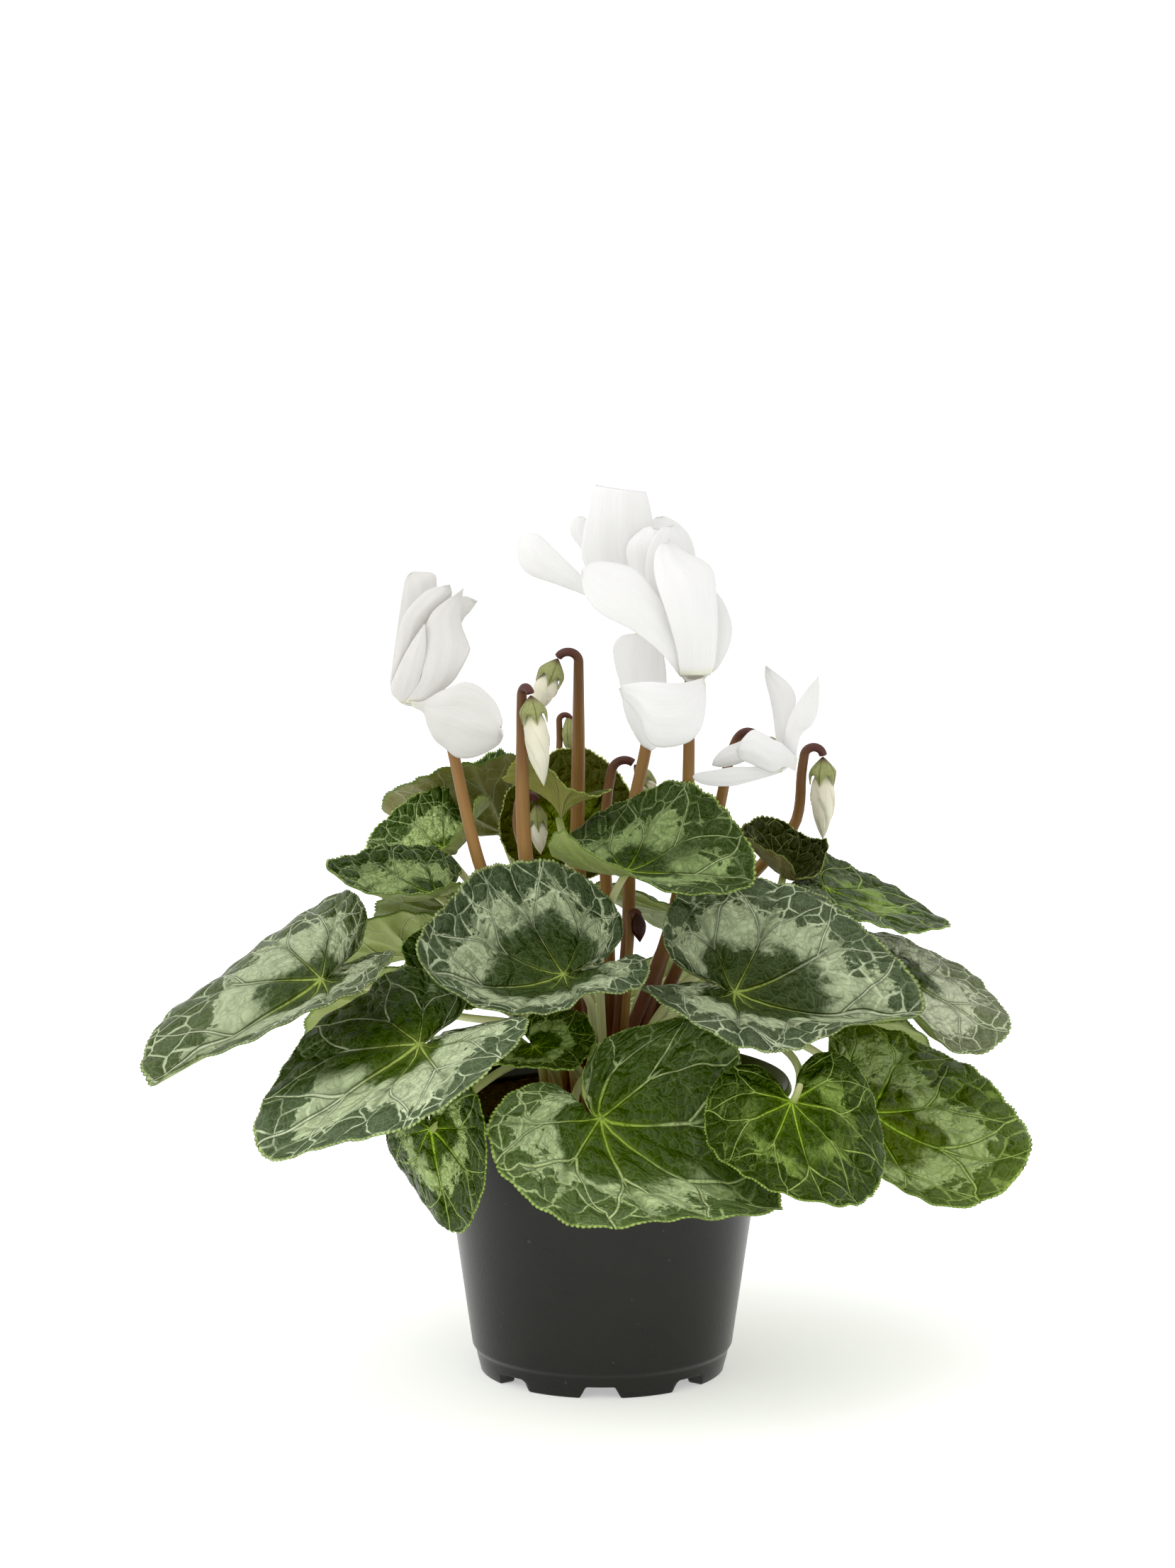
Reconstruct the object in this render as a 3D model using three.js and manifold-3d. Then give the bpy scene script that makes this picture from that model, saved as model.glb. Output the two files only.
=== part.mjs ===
// A potted cyclamen: a twelve centimetre nursery pot, its soil, the tuber, marbled heart-shaped leaves
// on long petioles, four white flowers and seven buds on hooked stalks.
// Millimetres, +Z up, with the front of the plant facing -Y. Shapes are laid out from the middle of the pot's
// foot, and the whole plant is then moved so that the origin is the middle of the room it takes up on a table.

import * as THREE from 'three';
import { mergeVertices } from 'three/addons/utils/BufferGeometryUtils.js';
import Module from 'manifold-3d';

const wasm = await Module();
wasm.setup();

// Driving dimensions of the pot
const POT_HEIGHT = 93;
const POT_RIM_RADIUS = 60;
const POT_WALL = 1.3;
const POT_SLOPE = 0.142;
const POT_WALL_FOOT_RADIUS = 41.6;
const POT_WALL_FOOT_HEIGHT = 10.8;
const POT_SHOULDER_HEIGHT = 84;
const POT_BASE_RADIUS = 38.7;
const POT_FLOOR_HEIGHT = 5;
const POT_NOTCHES = 8;
const NOTCH_HEIGHT = 3.9;
const NOTCH_TOP_WIDTH = 8.8;
const NOTCH_FOOT_WIDTH = 13.2;
const POT_SIDES = 32;

// Driving dimensions of the soil and the tuber
const GAP = 0.3;
const SOIL_TOP = 84.5;
const TUBER_RADIUS = 24;
const TUBER_DEPTH = 11;
const TUBER_CENTRE = 80;
const HOLE_DEPTH = 3;
const COLLAR = 1;
const SOIL_SIDES = 16;
const TUBER_ROWS = 8;

// Where the pot's axis stands, measured from the origin
const STAND_X = 4.6;
const STAND_Y = 4.9;

// Driving dimensions of the plant
const BLADE = 0.8;
const PETAL = 0.8;
const PETIOLE_RADIUS = 1.45;
const PETIOLE_TOP_RADIUS = 1.2;
const CROWN_SPACING = 2.95;
const CROWN_PLACES = 50;
const CROWN_FIRST = 0.4;
const GOLDEN_TURN = 137.508;
const STEM_SIDES = 5;
const PETIOLE_STEPS = 5;
const STALK_STEPS = 8;
const HOOK_STEPS = 4;

const radians = (degrees) => degrees * Math.PI / 180;
const vector = (list) => new THREE.Vector3(...list);

// Materials
const finish = (color, roughness) => new THREE.MeshStandardMaterial({ color, roughness, metalness: 0 });
const PLASTIC = finish(0x1d1e1f, 0.42);
const PEAT = finish(0x2a211a, 1.0);
const CORK = finish(0x5b4331, 0.9);
const GREEN = finish(0x3f5f33, 0.45);
const SILVERED = finish(0x6f8463, 0.45);
const YOUNG = finish(0x8a9a45, 0.5);
const STEM = finish(0x7a4f3a, 0.55);
const SEPAL = finish(0x93a05c, 0.55);
const WHITE = finish(0xf4f4f1, 0.5);
const CREAM = finish(0xeae6cf, 0.55);

const plant = new THREE.Group();
plant.name = 'potted_cyclamen';

function add(name, geometry, material) {
  geometry.translate(STAND_X, STAND_Y, 0);
  const mesh = new THREE.Mesh(geometry, material);
  mesh.name = name;
  plant.add(mesh);
}

// A closed geometry as a solid for joining and cutting, and back again
function solid(geometry) {
  const bare = new THREE.BufferGeometry();
  bare.setAttribute('position', geometry.getAttribute('position').clone());
  bare.setIndex(geometry.getIndex() ? geometry.getIndex().clone() : null);
  const merged = mergeVertices(bare, 1e-4);
  const index = merged.getIndex().array;
  const kept = [];
  for (let i = 0; i < index.length; i += 3) {
    const [a, b, c] = [index[i], index[i + 1], index[i + 2]];
    if (a !== b && b !== c && c !== a) kept.push(a, b, c);
  }
  const mesh = new wasm.Mesh({
    numProp: 3,
    vertProperties: new Float32Array(merged.getAttribute('position').array),
    triVerts: new Uint32Array(kept),
  });
  return new wasm.Manifold(mesh);
}

function geometryOf(body) {
  const mesh = body.getMesh();
  const geometry = new THREE.BufferGeometry();
  geometry.setAttribute('position', new THREE.BufferAttribute(new Float32Array(mesh.vertProperties), 3));
  geometry.setIndex(new THREE.BufferAttribute(new Uint32Array(mesh.triVerts), 1));
  return geometry;
}

// A round body about +Z from a closed profile of [radius, height] points
function lathe(profile, sides) {
  const points = profile.map(([radius, height]) => new THREE.Vector2(Math.max(radius, 0), height));
  return new THREE.LatheGeometry(points, sides).rotateX(Math.PI / 2);
}

const turned = (profile, sides) => solid(lathe(profile, sides));

// The pot
const wallRadius = (height) => POT_WALL_FOOT_RADIUS + POT_SLOPE * (height - POT_WALL_FOOT_HEIGHT);

function pot() {
  const shoulder = wallRadius(POT_SHOULDER_HEIGHT);
  const outside = [
    [POT_BASE_RADIUS, 0],
    [POT_BASE_RADIUS + 0.9, NOTCH_HEIGHT],
    [40.2, 6.9],
    [POT_WALL_FOOT_RADIUS - 0.3, 8.4],
    [POT_WALL_FOOT_RADIUS, POT_WALL_FOOT_HEIGHT],
    [shoulder, POT_SHOULDER_HEIGHT],
    [shoulder + 2.2, POT_SHOULDER_HEIGHT + 0.8],
    [shoulder + 3.2, POT_HEIGHT - 4],
    [POT_RIM_RADIUS, POT_HEIGHT - 2.4],
    [POT_RIM_RADIUS - 1.1, POT_HEIGHT],
  ];
  const inside = [
    [shoulder + 2.4, POT_HEIGHT - 2.2],
    [shoulder + 0.8, POT_SHOULDER_HEIGHT + 2.2],
    [shoulder - POT_WALL, POT_SHOULDER_HEIGHT + 0.6],
    [POT_WALL_FOOT_RADIUS - POT_WALL, POT_WALL_FOOT_HEIGHT],
    [38.4, POT_FLOOR_HEIGHT + POT_WALL + 0.7],
    [37.2, POT_FLOOR_HEIGHT + POT_WALL],
    [0, POT_FLOOR_HEIGHT + POT_WALL],
    [0, POT_FLOOR_HEIGHT],
    [34.6, POT_FLOOR_HEIGHT],
    [33.8, 0],
    [POT_BASE_RADIUS, 0],
  ];
  let body = turned([...outside, ...inside], POT_SIDES);
  // Eight notches leave eight feet, with one notch at the front
  for (let i = 0; i < POT_NOTCHES; i += 1) {
    const outline = new THREE.Shape();
    outline.moveTo(-NOTCH_FOOT_WIDTH / 2, -1);
    outline.lineTo(NOTCH_FOOT_WIDTH / 2, -1);
    outline.lineTo(NOTCH_TOP_WIDTH / 2, NOTCH_HEIGHT);
    outline.lineTo(-NOTCH_TOP_WIDTH / 2, NOTCH_HEIGHT);
    outline.closePath();
    const wedge = new THREE.ExtrudeGeometry(outline, { depth: 20, bevelEnabled: false });
    wedge.rotateX(Math.PI / 2);
    wedge.translate(0, -26, 0);
    wedge.rotateZ(radians(360 / POT_NOTCHES * i - 1));
    body = body.subtract(solid(wedge));
  }
  return geometryOf(body);
}

// The soil fills the pot up to its top, with a hollow that the tuber sits in
function soil() {
  const inner = (height) => wallRadius(height) - POT_WALL - GAP;
  const floor = POT_FLOOR_HEIGHT + POT_WALL + GAP;
  const profile = [
    [0, floor],
    [36.6, floor],
    [38.0, floor + 0.8],
    [inner(POT_WALL_FOOT_HEIGHT), POT_WALL_FOOT_HEIGHT],
    [inner(SOIL_TOP - 3) - 0.1, SOIL_TOP - 3],
    [47, SOIL_TOP - 0.6],
    [38, SOIL_TOP - 1.6],
    [31, SOIL_TOP],
  ];
  for (let turn = 180 / TUBER_ROWS; turn >= -90; turn -= 180 / TUBER_ROWS) {
    const radius = (TUBER_RADIUS + GAP) * Math.cos(radians(turn));
    profile.push([radius, TUBER_CENTRE + (TUBER_DEPTH + GAP) * Math.sin(radians(turn))]);
  }
  profile.push([0, floor]);
  return turned(profile, SOIL_SIDES);
}

const tuberTop = (distance) => TUBER_CENTRE + TUBER_DEPTH * Math.sqrt(1 - (distance / TUBER_RADIUS) ** 2);

function tuber() {
  const profile = [];
  for (let i = 0; i <= TUBER_ROWS; i += 1) {
    const turn = radians(-90 + 180 * i / TUBER_ROWS);
    profile.push([TUBER_RADIUS * Math.cos(turn), TUBER_CENTRE + TUBER_DEPTH * Math.sin(turn)]);
  }
  profile[0][0] = 0;
  profile[TUBER_ROWS][0] = 0;
  profile.push([0, TUBER_CENTRE - TUBER_DEPTH]);
  return turned(profile, SOIL_SIDES);
}

// Places on the tuber's crown that stems grow from, laid out as seeds in a sunflower
const crown = [];
for (let i = 0; i < CROWN_PLACES; i += 1) {
  const distance = CROWN_SPACING * Math.sqrt(i + CROWN_FIRST);
  const turn = radians(GOLDEN_TURN * i);
  crown.push({ x: distance * Math.cos(turn), y: distance * Math.sin(turn), distance, radius: 0 });
}

// The free place nearest to a wanted spot, which then belongs to that stem: its foot, and its collar just above
// the tuber, up to where it stands upright
function claim(x, y, radius) {
  const free = crown.filter((place) => place.radius === 0);
  free.sort((a, b) => Math.hypot(a.x - x, a.y - y) - Math.hypot(b.x - x, b.y - y));
  free[0].radius = radius;
  const foot = new THREE.Vector3(free[0].x, free[0].y, tuberTop(free[0].distance) - HOLE_DEPTH);
  return [foot, foot.clone().add(new THREE.Vector3(0, 0, HOLE_DEPTH + COLLAR))];
}

// A round stem through a list of points, tapered from its foot to its top
function stem(points, footRadius, topRadius) {
  const steps = points.length - 1;
  const geometry = new THREE.CylinderGeometry(1, 1, 1, STEM_SIDES, steps);
  let side = new THREE.Vector3(1, 0, 0);
  const frames = points.map((point, i) => {
    const along = points[Math.min(i + 1, steps)].clone().sub(points[Math.max(i - 1, 0)]).normalize();
    side = side.clone().addScaledVector(along, -side.dot(along)).normalize();
    return { side, across: along.clone().cross(side) };
  });
  const position = geometry.getAttribute('position');
  for (let i = 0; i < position.count; i += 1) {
    const step = Math.round((position.getY(i) + 0.5) * steps);
    const radius = footRadius + (topRadius - footRadius) * step / steps;
    const place = points[step].clone();
    place.addScaledVector(frames[step].side, position.getX(i) * radius);
    place.addScaledVector(frames[step].across, -position.getZ(i) * radius);
    position.setXYZ(i, place.x, place.y, place.z);
  }
  return solid(geometry);
}

// A thin sheet: the same triangles on both faces, joined by a wall round its rim
function sheet(points, faces, thickness) {
  const normals = points.map(() => new THREE.Vector3());
  for (const [a, b, c] of faces) {
    const across = points[b].clone().sub(points[a]);
    const normal = across.cross(points[c].clone().sub(points[a]));
    for (const corner of [a, b, c]) normals[corner].add(normal);
  }
  const count = points.length;
  const position = [];
  for (const side of [0.5, -0.5]) {
    points.forEach((point, i) => {
      const out = normals[i].clone().normalize();
      position.push(...point.clone().addScaledVector(out, side * thickness).toArray());
    });
  }
  const index = [];
  const edges = new Set(faces.flatMap(([a, b, c]) => [`${a},${b}`, `${b},${c}`, `${c},${a}`]));
  for (const [a, b, c] of faces) {
    index.push(a, b, c, c + count, b + count, a + count);
    for (const [from, to] of [[a, b], [b, c], [c, a]]) {
      if (edges.has(`${to},${from}`)) continue;
      index.push(to, from, from + count, to, from + count, to + count);
    }
  }
  const geometry = new THREE.BufferGeometry();
  geometry.setAttribute('position', new THREE.Float32BufferAttribute(position, 3));
  geometry.setIndex(index);
  return solid(geometry);
}

// Leaves. A blade is a heart drawn round its joint, where the petiole meets the cleft: turn 0 is the tip.
const OUTLINE_TIP = 0.16;
const TIP_WIDTH = 22;
const CLEFT = 176;
const CREASE = 0.06;
const SPAN = 0.8;
const LOBE = 0.6;
const LARGE_RINGS = [[1, 28], [0.64, 14], [0.3, 7]];
const SMALL_RINGS = [[1, 20], [0.6, 10]];
const SMALL_LEAF = 40;
const SCALLOP = 0.014;

// The heart's radius at a turn in degrees, as a share of the length from joint to tip
function heart(turn, back) {
  const share = Math.abs(turn) / 180;
  const tip = 1 - OUTLINE_TIP + OUTLINE_TIP * Math.exp(-((turn / TIP_WIDTH) ** 2));
  return tip * (1 - back * share ** 2) * Math.sqrt(1 - share ** 12);
}

// How far along and how high an arc of a given turn lies at a distance along it
function arc(distance, turn) {
  if (Math.abs(turn) < 1e-6) return [distance, 0];
  return [Math.sin(turn * distance) / turn, (1 - Math.cos(turn * distance)) / turn];
}

// A half of the blade's cross section: creased at the midrib by fold, then curled by curl over its width
function halfSection(distance, fold, curl) {
  const steps = 12;
  let along = 0;
  let height = 0;
  for (let i = 0; i < steps; i += 1) {
    const middle = distance * (i + 0.5) / steps;
    const angle = fold * (1 - Math.exp(-middle / CREASE)) + curl * middle / SPAN;
    along += Math.cos(angle) * distance / steps;
    height += Math.sin(angle) * distance / steps;
  }
  return [along, height];
}

// The blade's own axes: towards its tip, to its left, and out of its upper face
function bladeAxes(leaf) {
  const heading = radians(leaf.heading);
  const pitch = radians(leaf.pitch);
  const roll = radians(leaf.roll);
  const level = Math.cos(pitch);
  const forward = new THREE.Vector3(level * Math.cos(heading), level * Math.sin(heading), Math.sin(pitch));
  const left = new THREE.Vector3(-Math.sin(heading), Math.cos(heading), 0);
  const up = forward.clone().cross(left);
  return {
    forward,
    left: left.clone().multiplyScalar(Math.cos(roll)).addScaledVector(up, Math.sin(roll)),
    up: up.clone().multiplyScalar(Math.cos(roll)).addScaledVector(left, -Math.sin(roll)),
  };
}

// A point of the blade's middle surface, at a turn round the joint and a share of the way to the edge
function bladePoint(leaf, axes, turn, share) {
  const reach = share * heart(turn, leaf.back);
  const u = reach * Math.cos(radians(turn));
  const v = reach * Math.sin(radians(turn)) * leaf.width;
  const forwards = u >= 0;
  const bend = radians(forwards ? leaf.tip : leaf.base) / (forwards ? 1 : LOBE);
  const [along, height] = arc(Math.abs(u), bend);
  const slope = bend * u;
  const behind = Math.min(Math.max(-u / LOBE, 0), 1);
  const sideNo = v >= 0 ? 0 : 1;
  const curl = radians(leaf.curl[sideNo] + leaf.lobe[sideNo] * behind);
  let [across, lift] = halfSection(Math.abs(v), radians(leaf.fold[sideNo]), curl);
  across *= Math.sign(v);
  lift += leaf.wave * share ** 2 * Math.sin(radians(turn) * leaf.waves + leaf.heading);
  const twist = radians(leaf.twist) * u;
  const turnedAcross = across * Math.cos(twist) - lift * Math.sin(twist);
  const turnedLift = across * Math.sin(twist) + lift * Math.cos(twist);
  return vector(leaf.at)
    .addScaledVector(axes.forward, leaf.length * ((forwards ? along : -along) - Math.sin(slope) * turnedLift))
    .addScaledVector(axes.left, leaf.length * turnedAcross)
    .addScaledVector(axes.up, leaf.length * (height + Math.cos(slope) * turnedLift));
}

function blade(leaf, axes) {
  const points = [];
  const rings = leaf.length < SMALL_LEAF || leaf.unseen ? SMALL_RINGS : LARGE_RINGS;
  const rows = rings.map(([share, count], ring) => {
    const row = [];
    for (let i = 0; i <= count; i += 1) {
      const turn = -CLEFT + 2 * CLEFT * i / count;
      const scallop = ring === 0 ? 1 - SCALLOP * (i % 2 === 0 ? 1 : -1) : 1;
      row.push(points.push(bladePoint(leaf, axes, turn, share * scallop)) - 1);
    }
    return row;
  });
  const middle = points.push(bladePoint(leaf, axes, 0, 0)) - 1;
  const faces = [];
  for (let ring = 0; ring + 1 < rows.length; ring += 1) {
    const [outer, inner] = [rows[ring], rows[ring + 1]];
    for (let i = 0; i + 1 < inner.length; i += 1) {
      faces.push([outer[2 * i], outer[2 * i + 1], inner[i]]);
      faces.push([outer[2 * i + 1], outer[2 * i + 2], inner[i + 1]]);
      faces.push([outer[2 * i + 1], inner[i + 1], inner[i]]);
    }
  }
  const core = rows.at(-1);
  for (let i = 0; i + 1 < core.length; i += 1) faces.push([core[i], core[i + 1], middle]);
  return sheet(points, faces, BLADE);
}

// Each leaf: where its joint is, the length from joint to tip, its width as a share of that, and how it lies.
// Angles are in degrees. heading is 0 along +X and 90 along +Y, pitch lifts the tip and roll lifts the left
// half. fold creases the midrib and curl bends each half, as [left, right]; tip and base bend the spine on each
// side of the joint, lobe adds to the curl behind it, and back draws the two lobes in.
// The petiole leaves the crown at a spot, or in the joint's direction at crown millimetres from the middle.
// attach, hook and rise shape its bend, and over is a place that it leans to instead.
const LEAF = {
  width: 1.05, roll: 0, fold: [12, 12], curl: [8, 8], tip: -10, base: 10, twist: 0, lobe: [0, 0], back: 0.5,
  wave: 0.015, waves: 7, crown: 15, attach: 55, hook: 0.35, rise: 0.45, color: GREEN,
};

const LEAVES = {
  // Front
  leaf_front_left_of_middle: { at: [-12, -39.5, 135.7], length: 54, width: 1.13, heading: 190, pitch: -18,
    roll: -28, fold: [36, -12], curl: [0, 60], tip: 66, base: 0, twist: -18, lobe: [-70, 40], back: 0.5,
    crown: 9, color: SILVERED },
  leaf_front_right: { at: [40.9, -32, 128.5], length: 62, width: 0.91, heading: -1, pitch: -21, roll: 37,
    fold: [40, 50], curl: [-42, -50], tip: 49, base: -40, twist: -7, lobe: [35, 45], back: 0.6, crown: 11,
    color: SILVERED },
  leaf_front_low: { at: [-1, -76, 99], length: 63, width: 1.2, heading: -12, pitch: -42, roll: 11,
    fold: [16, -12], curl: [50, 1], tip: 36, base: 60, twist: -29, lobe: [-37, -21], back: 0.7, crown: 18 },
  leaf_front_low_right: { at: [57.5, -68, 102.5], length: 51, width: 0.8, heading: -74, pitch: -49, roll: 7,
    fold: [5, 0], curl: [-45, -10], tip: 45, base: 14, twist: -18, lobe: [6, -12], back: 0.85, crown: 18 },
  leaf_right_low: { at: [84.5, -12, 85.5], length: 54, width: 1.25, heading: 2, pitch: -38, roll: 31,
    fold: [-9, -1], curl: [3, 45], tip: 55, base: 27, twist: 11, lobe: [-20, 35], back: 0.55, crown: 18,
    over: [66, -20, 122] },
  leaf_right: { at: [92, 18, 126], length: 43, width: 1.3, heading: -4, pitch: -37, roll: 27,
    fold: [-26, -7], curl: [2, 65], tip: 18, base: -3, twist: 13, lobe: [-17, -5], back: 0.85, crown: 14,
    color: SILVERED },
  leaf_right_high: { at: [71, 30, 149], length: 43, width: 1.08, heading: 10, pitch: -21, roll: 12,
    fold: [-13, 10], curl: [25, -5], tip: 7, base: -7, twist: 0, lobe: [-11, 5], back: 0.8, crown: 12 },
  leaf_top_right: { at: [7, -11, 162.6], length: 42, width: 1.23, heading: -14, pitch: 1, roll: 6,
    fold: [7, 15], curl: [29, 15], tip: 0, base: 20, twist: 26, lobe: [13, 13], back: 0.23, crown: 6 },
  leaf_left_high: { at: [-50.6, 40, 159.6], length: 25.3, width: 1.25, heading: 176, pitch: -1, roll: -12,
    fold: [-2, 5], curl: [30, 33], tip: 11, base: 100, twist: -14, lobe: [-3, -65], back: 0, spot: [-14, 6] },
  leaf_left_upper: { at: [-51.5, -11, 155.6], length: 38.5, width: 1.07, heading: 183, pitch: -13, roll: -5,
    fold: [19, 13], curl: [5, 18], tip: 57, base: 28, twist: -7, lobe: [0, 0], back: 1.05, spot: [-13, 2],
    over: [-46, 4, 146] },
  leaf_left: { at: [-87, -30, 132], length: 63, width: 1.2, heading: 194, pitch: -30, roll: -35,
    fold: [50, -11], curl: [-7, -35], tip: 8, base: 15, twist: 6, lobe: [-12, 9], back: 0.65, crown: 16,
    color: SILVERED },
  leaf_front_left: { at: [-55.7, -72, 121], length: 58.6, width: 1.15, heading: 198, pitch: -28, roll: -39,
    fold: [52, -28], curl: [-26, -8], tip: -9, base: -29, twist: 0, lobe: [11, 38], back: 0.55, crown: 16,
    color: SILVERED },
  leaf_front_low_left: { at: [-53, -52, 90], length: 34, width: 1.1, heading: 300, pitch: -74, roll: 43,
    fold: [29, -42], curl: [12, -3], tip: -27, base: -55, twist: 15, lobe: [7, 12], back: 0.8, crown: 18 },
  leaf_front_small: { at: [-21, -50, 115.2], length: 23, width: 1.0, heading: 292, pitch: -7, roll: 24,
    fold: [-7, -4], curl: [19, 30], tip: 3, base: 10, twist: -28, lobe: [-34, -14], back: 0, crown: 14 },
  leaf_back_left_high: { at: [-31.6, 80, 162], length: 42.8, width: 1.12, heading: 175, pitch: -7, roll: 38,
    fold: [11, 47], curl: [-9, 33], tip: 35, base: 36, twist: -9, lobe: [36, -3], back: 0.65, spot: [-9, 14],
    over: [-27, 68, 140] },
  leaf_back_high: { at: [-10.6, 54, 160], length: 29, width: 0.95, heading: 82, pitch: 62, fold: [15, 15],
    curl: [10, 10], base: 30, back: 0.4, spot: [-4, 16], over: [-13, 58, 130] },
  leaf_young_funnel: { at: [-13, 14, 174.4], length: 27, width: 0.96, heading: 147, pitch: 1, roll: 0,
    fold: [40, 17], curl: [30, 1], tip: 55, base: 31, twist: -24, lobe: [4, 15], back: 0.5, spot: [-3, 4],
    over: [-9, 17, 152], color: YOUNG },
  leaf_right_cupped: { at: [58, 25, 154], length: 26, width: 1.02, heading: 117, pitch: 11, roll: 30,
    fold: [3, 30], curl: [24, 70], tip: 65, base: 65, twist: -15, lobe: [0, 18], back: 0.6, crown: 9 },
  // Behind the front leaves
  leaf_middle_left: { at: [-41, -16, 134], length: 23, width: 1.0, heading: 182, pitch: 8, roll: -55,
    fold: [10, 10], curl: [0, 20], tip: 20, spot: [-14, -4] },
  leaf_right_under: { at: [71, -2, 114.6], length: 24, width: 1, heading: 3, pitch: -2, roll: -8,
    fold: [2, 2], curl: [2, -8], tip: -8, crown: 17 },
  leaf_left_behind: { at: [-58, 28, 128], length: 46, heading: 172, pitch: -12, roll: 18, crown: 16 },
  // Back of the plant
  leaf_back_left_low: { at: [-56, 62, 104], length: 50, heading: 134, pitch: -38, roll: 4, crown: 20,
    unseen: true },
  leaf_back_low: { at: [6, 84, 100], length: 52, heading: 88, pitch: -42, roll: -4, crown: 20, unseen: true },
  leaf_back_right_low: { at: [68, 56, 102], length: 50, heading: 40, pitch: -38, roll: 4, spot: [18, 6],
    unseen: true },
  leaf_back_middle_left: { at: [-38, 66, 132], length: 44, heading: 124, pitch: -22, roll: 4, spot: [-14, 12],
    unseen: true },
  leaf_back_middle_right: { at: [24, 68, 134], length: 44, heading: 72, pitch: -22, roll: -4, crown: 18,
    unseen: true },
  leaf_back_right: { at: [64, 45, 133], length: 30, heading: 30, pitch: -28, roll: 4, spot: [12, 14],
    unseen: true },
};

// The petiole rises from the crown, comes up to the joint from under the cleft and ends inside the blade
const JOINT_FORWARD = 0.8;
const JOINT_INSIDE = 0.15;

function petiole(leaf, axes) {
  const joint = vector(leaf.at);
  const outward = Math.atan2(joint.y, joint.x);
  const spot = leaf.spot ?? [leaf.crown * Math.cos(outward), leaf.crown * Math.sin(outward)];
  const [foot, collar] = claim(...spot, PETIOLE_RADIUS);
  const attach = radians(leaf.attach);
  const arrive = axes.forward.clone().multiplyScalar(Math.cos(attach))
    .addScaledVector(axes.up, Math.sin(attach));
  const end = joint.clone().addScaledVector(axes.forward, JOINT_FORWARD).addScaledVector(arrive, JOINT_INSIDE);
  const span = collar.distanceTo(end);
  const low = collar.clone().add(new THREE.Vector3(0, 0, span * leaf.rise));
  const high = leaf.over ? vector(leaf.over) : end.clone().addScaledVector(arrive, -span * leaf.hook);
  const curve = new THREE.CubicBezierCurve3(collar, low, high, end);
  return stem([foot, ...curve.getSpacedPoints(PETIOLE_STEPS)], PETIOLE_RADIUS, PETIOLE_TOP_RADIUS);
}

// Stalks, calyxes, corollas and buds
const CALYX_LENGTH = 5.6;
const CALYX_RADIUS = 3.6;
const CALYX_RINGS = [0.4, 1];
const CALYX_ROUND = 1.45;
const CALYX_PER_BUD = 0.973;
const SEPALS = 5;
const SEPAL_NOTCH = 0.4;
const CUP_RADIUS = 4.4;
const CUP_WALL = 1.1;
const CUP_SIDES = 10;
const CUP_EDGE = 0.3;
const CUP_FLOOR = 0.5;
const CUP_FLOOR_RADIUS = 1.3;
const PETAL_ROWS = 5;
const PETAL_COLUMNS = 3;
const PETAL_LEVEL = 0.4;
const PETAL_OPENS = 3;
const BUD_SIDES = 7;
const FULL_BUD = 3.9;
const BUD_SHOULDER = 7;

// The points of a stalk: a smooth rise through its path, then a round hook at its top
function stalkPoints(own) {
  const [foot, collar] = claim(...own.spot, own.radius);
  const rise = new THREE.CatmullRomCurve3([collar, ...own.path.map(vector)], false, 'catmullrom', 0.5);
  const points = [foot, ...rise.getSpacedPoints(STALK_STEPS)];
  const top = points.at(-1);
  const along = rise.getTangent(1);
  const towards = radians(own.towards);
  const aside = new THREE.Vector3(Math.cos(towards), Math.sin(towards), 0);
  aside.addScaledVector(along, -aside.dot(along)).normalize();
  for (let i = 1; i <= HOOK_STEPS; i += 1) {
    const turn = radians(own.turn * i / HOOK_STEPS);
    const point = top.clone().addScaledVector(along, own.hook * Math.sin(turn));
    points.push(point.addScaledVector(aside, own.hook * (1 - Math.cos(turn))));
  }
  return points;
}

// Turns +Z onto a direction, for bodies that are first made upright
function aimed(direction) {
  return new THREE.Quaternion().setFromUnitVectors(new THREE.Vector3(0, 0, 1), direction);
}

// A round body from a profile of [radius, height] points, stood on a place along an axis
function turnedAlong(profile, sides, place, axis) {
  const geometry = lathe(profile, sides);
  geometry.applyQuaternion(aimed(axis));
  geometry.translate(place.x, place.y, place.z);
  return solid(geometry);
}

// A cup of five pointed sepals that opens along an axis, away from the stalk's end
function calyx(end, axis, radius) {
  const turn = aimed(axis);
  const start = end.clone().addScaledVector(axis, GAP + BLADE / 2);
  const points = [start.clone()];
  const around = 2 * SEPALS;
  CALYX_RINGS.forEach((share, ring) => {
    for (let i = 0; i < around; i += 1) {
      const angle = 2 * Math.PI * i / around;
      const notched = ring === CALYX_RINGS.length - 1 && i % 2 === 1;
      const wide = radius * Math.sin(Math.PI / 2 * Math.min(1, share * CALYX_ROUND));
      const deep = CALYX_LENGTH * share * (notched ? 1 - SEPAL_NOTCH : 1);
      const point = new THREE.Vector3(wide * Math.cos(angle), wide * Math.sin(angle), deep);
      points.push(point.applyQuaternion(turn).add(start));
    }
  });
  const faces = [];
  for (let i = 0; i < around; i += 1) {
    const next = (i + 1) % around;
    faces.push([0, 1 + next, 1 + i]);
    for (let ring = 0; ring + 1 < CALYX_RINGS.length; ring += 1) {
      const [inner, outer] = [1 + ring * around, 1 + (ring + 1) * around];
      faces.push([inner + i, inner + next, outer + next], [inner + i, outer + next, outer + i]);
    }
  }
  return sheet(points, faces, BLADE);
}

// Where the inside of a calyx leaves room, as [radius, distance from the stalk's end] points
const INSIDE_CALYX = [[0, 1.6], [0.9, 1.9], [1.8, 2.8], [2.35, 4.2], [2.45, BUD_SHOULDER]];

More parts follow.
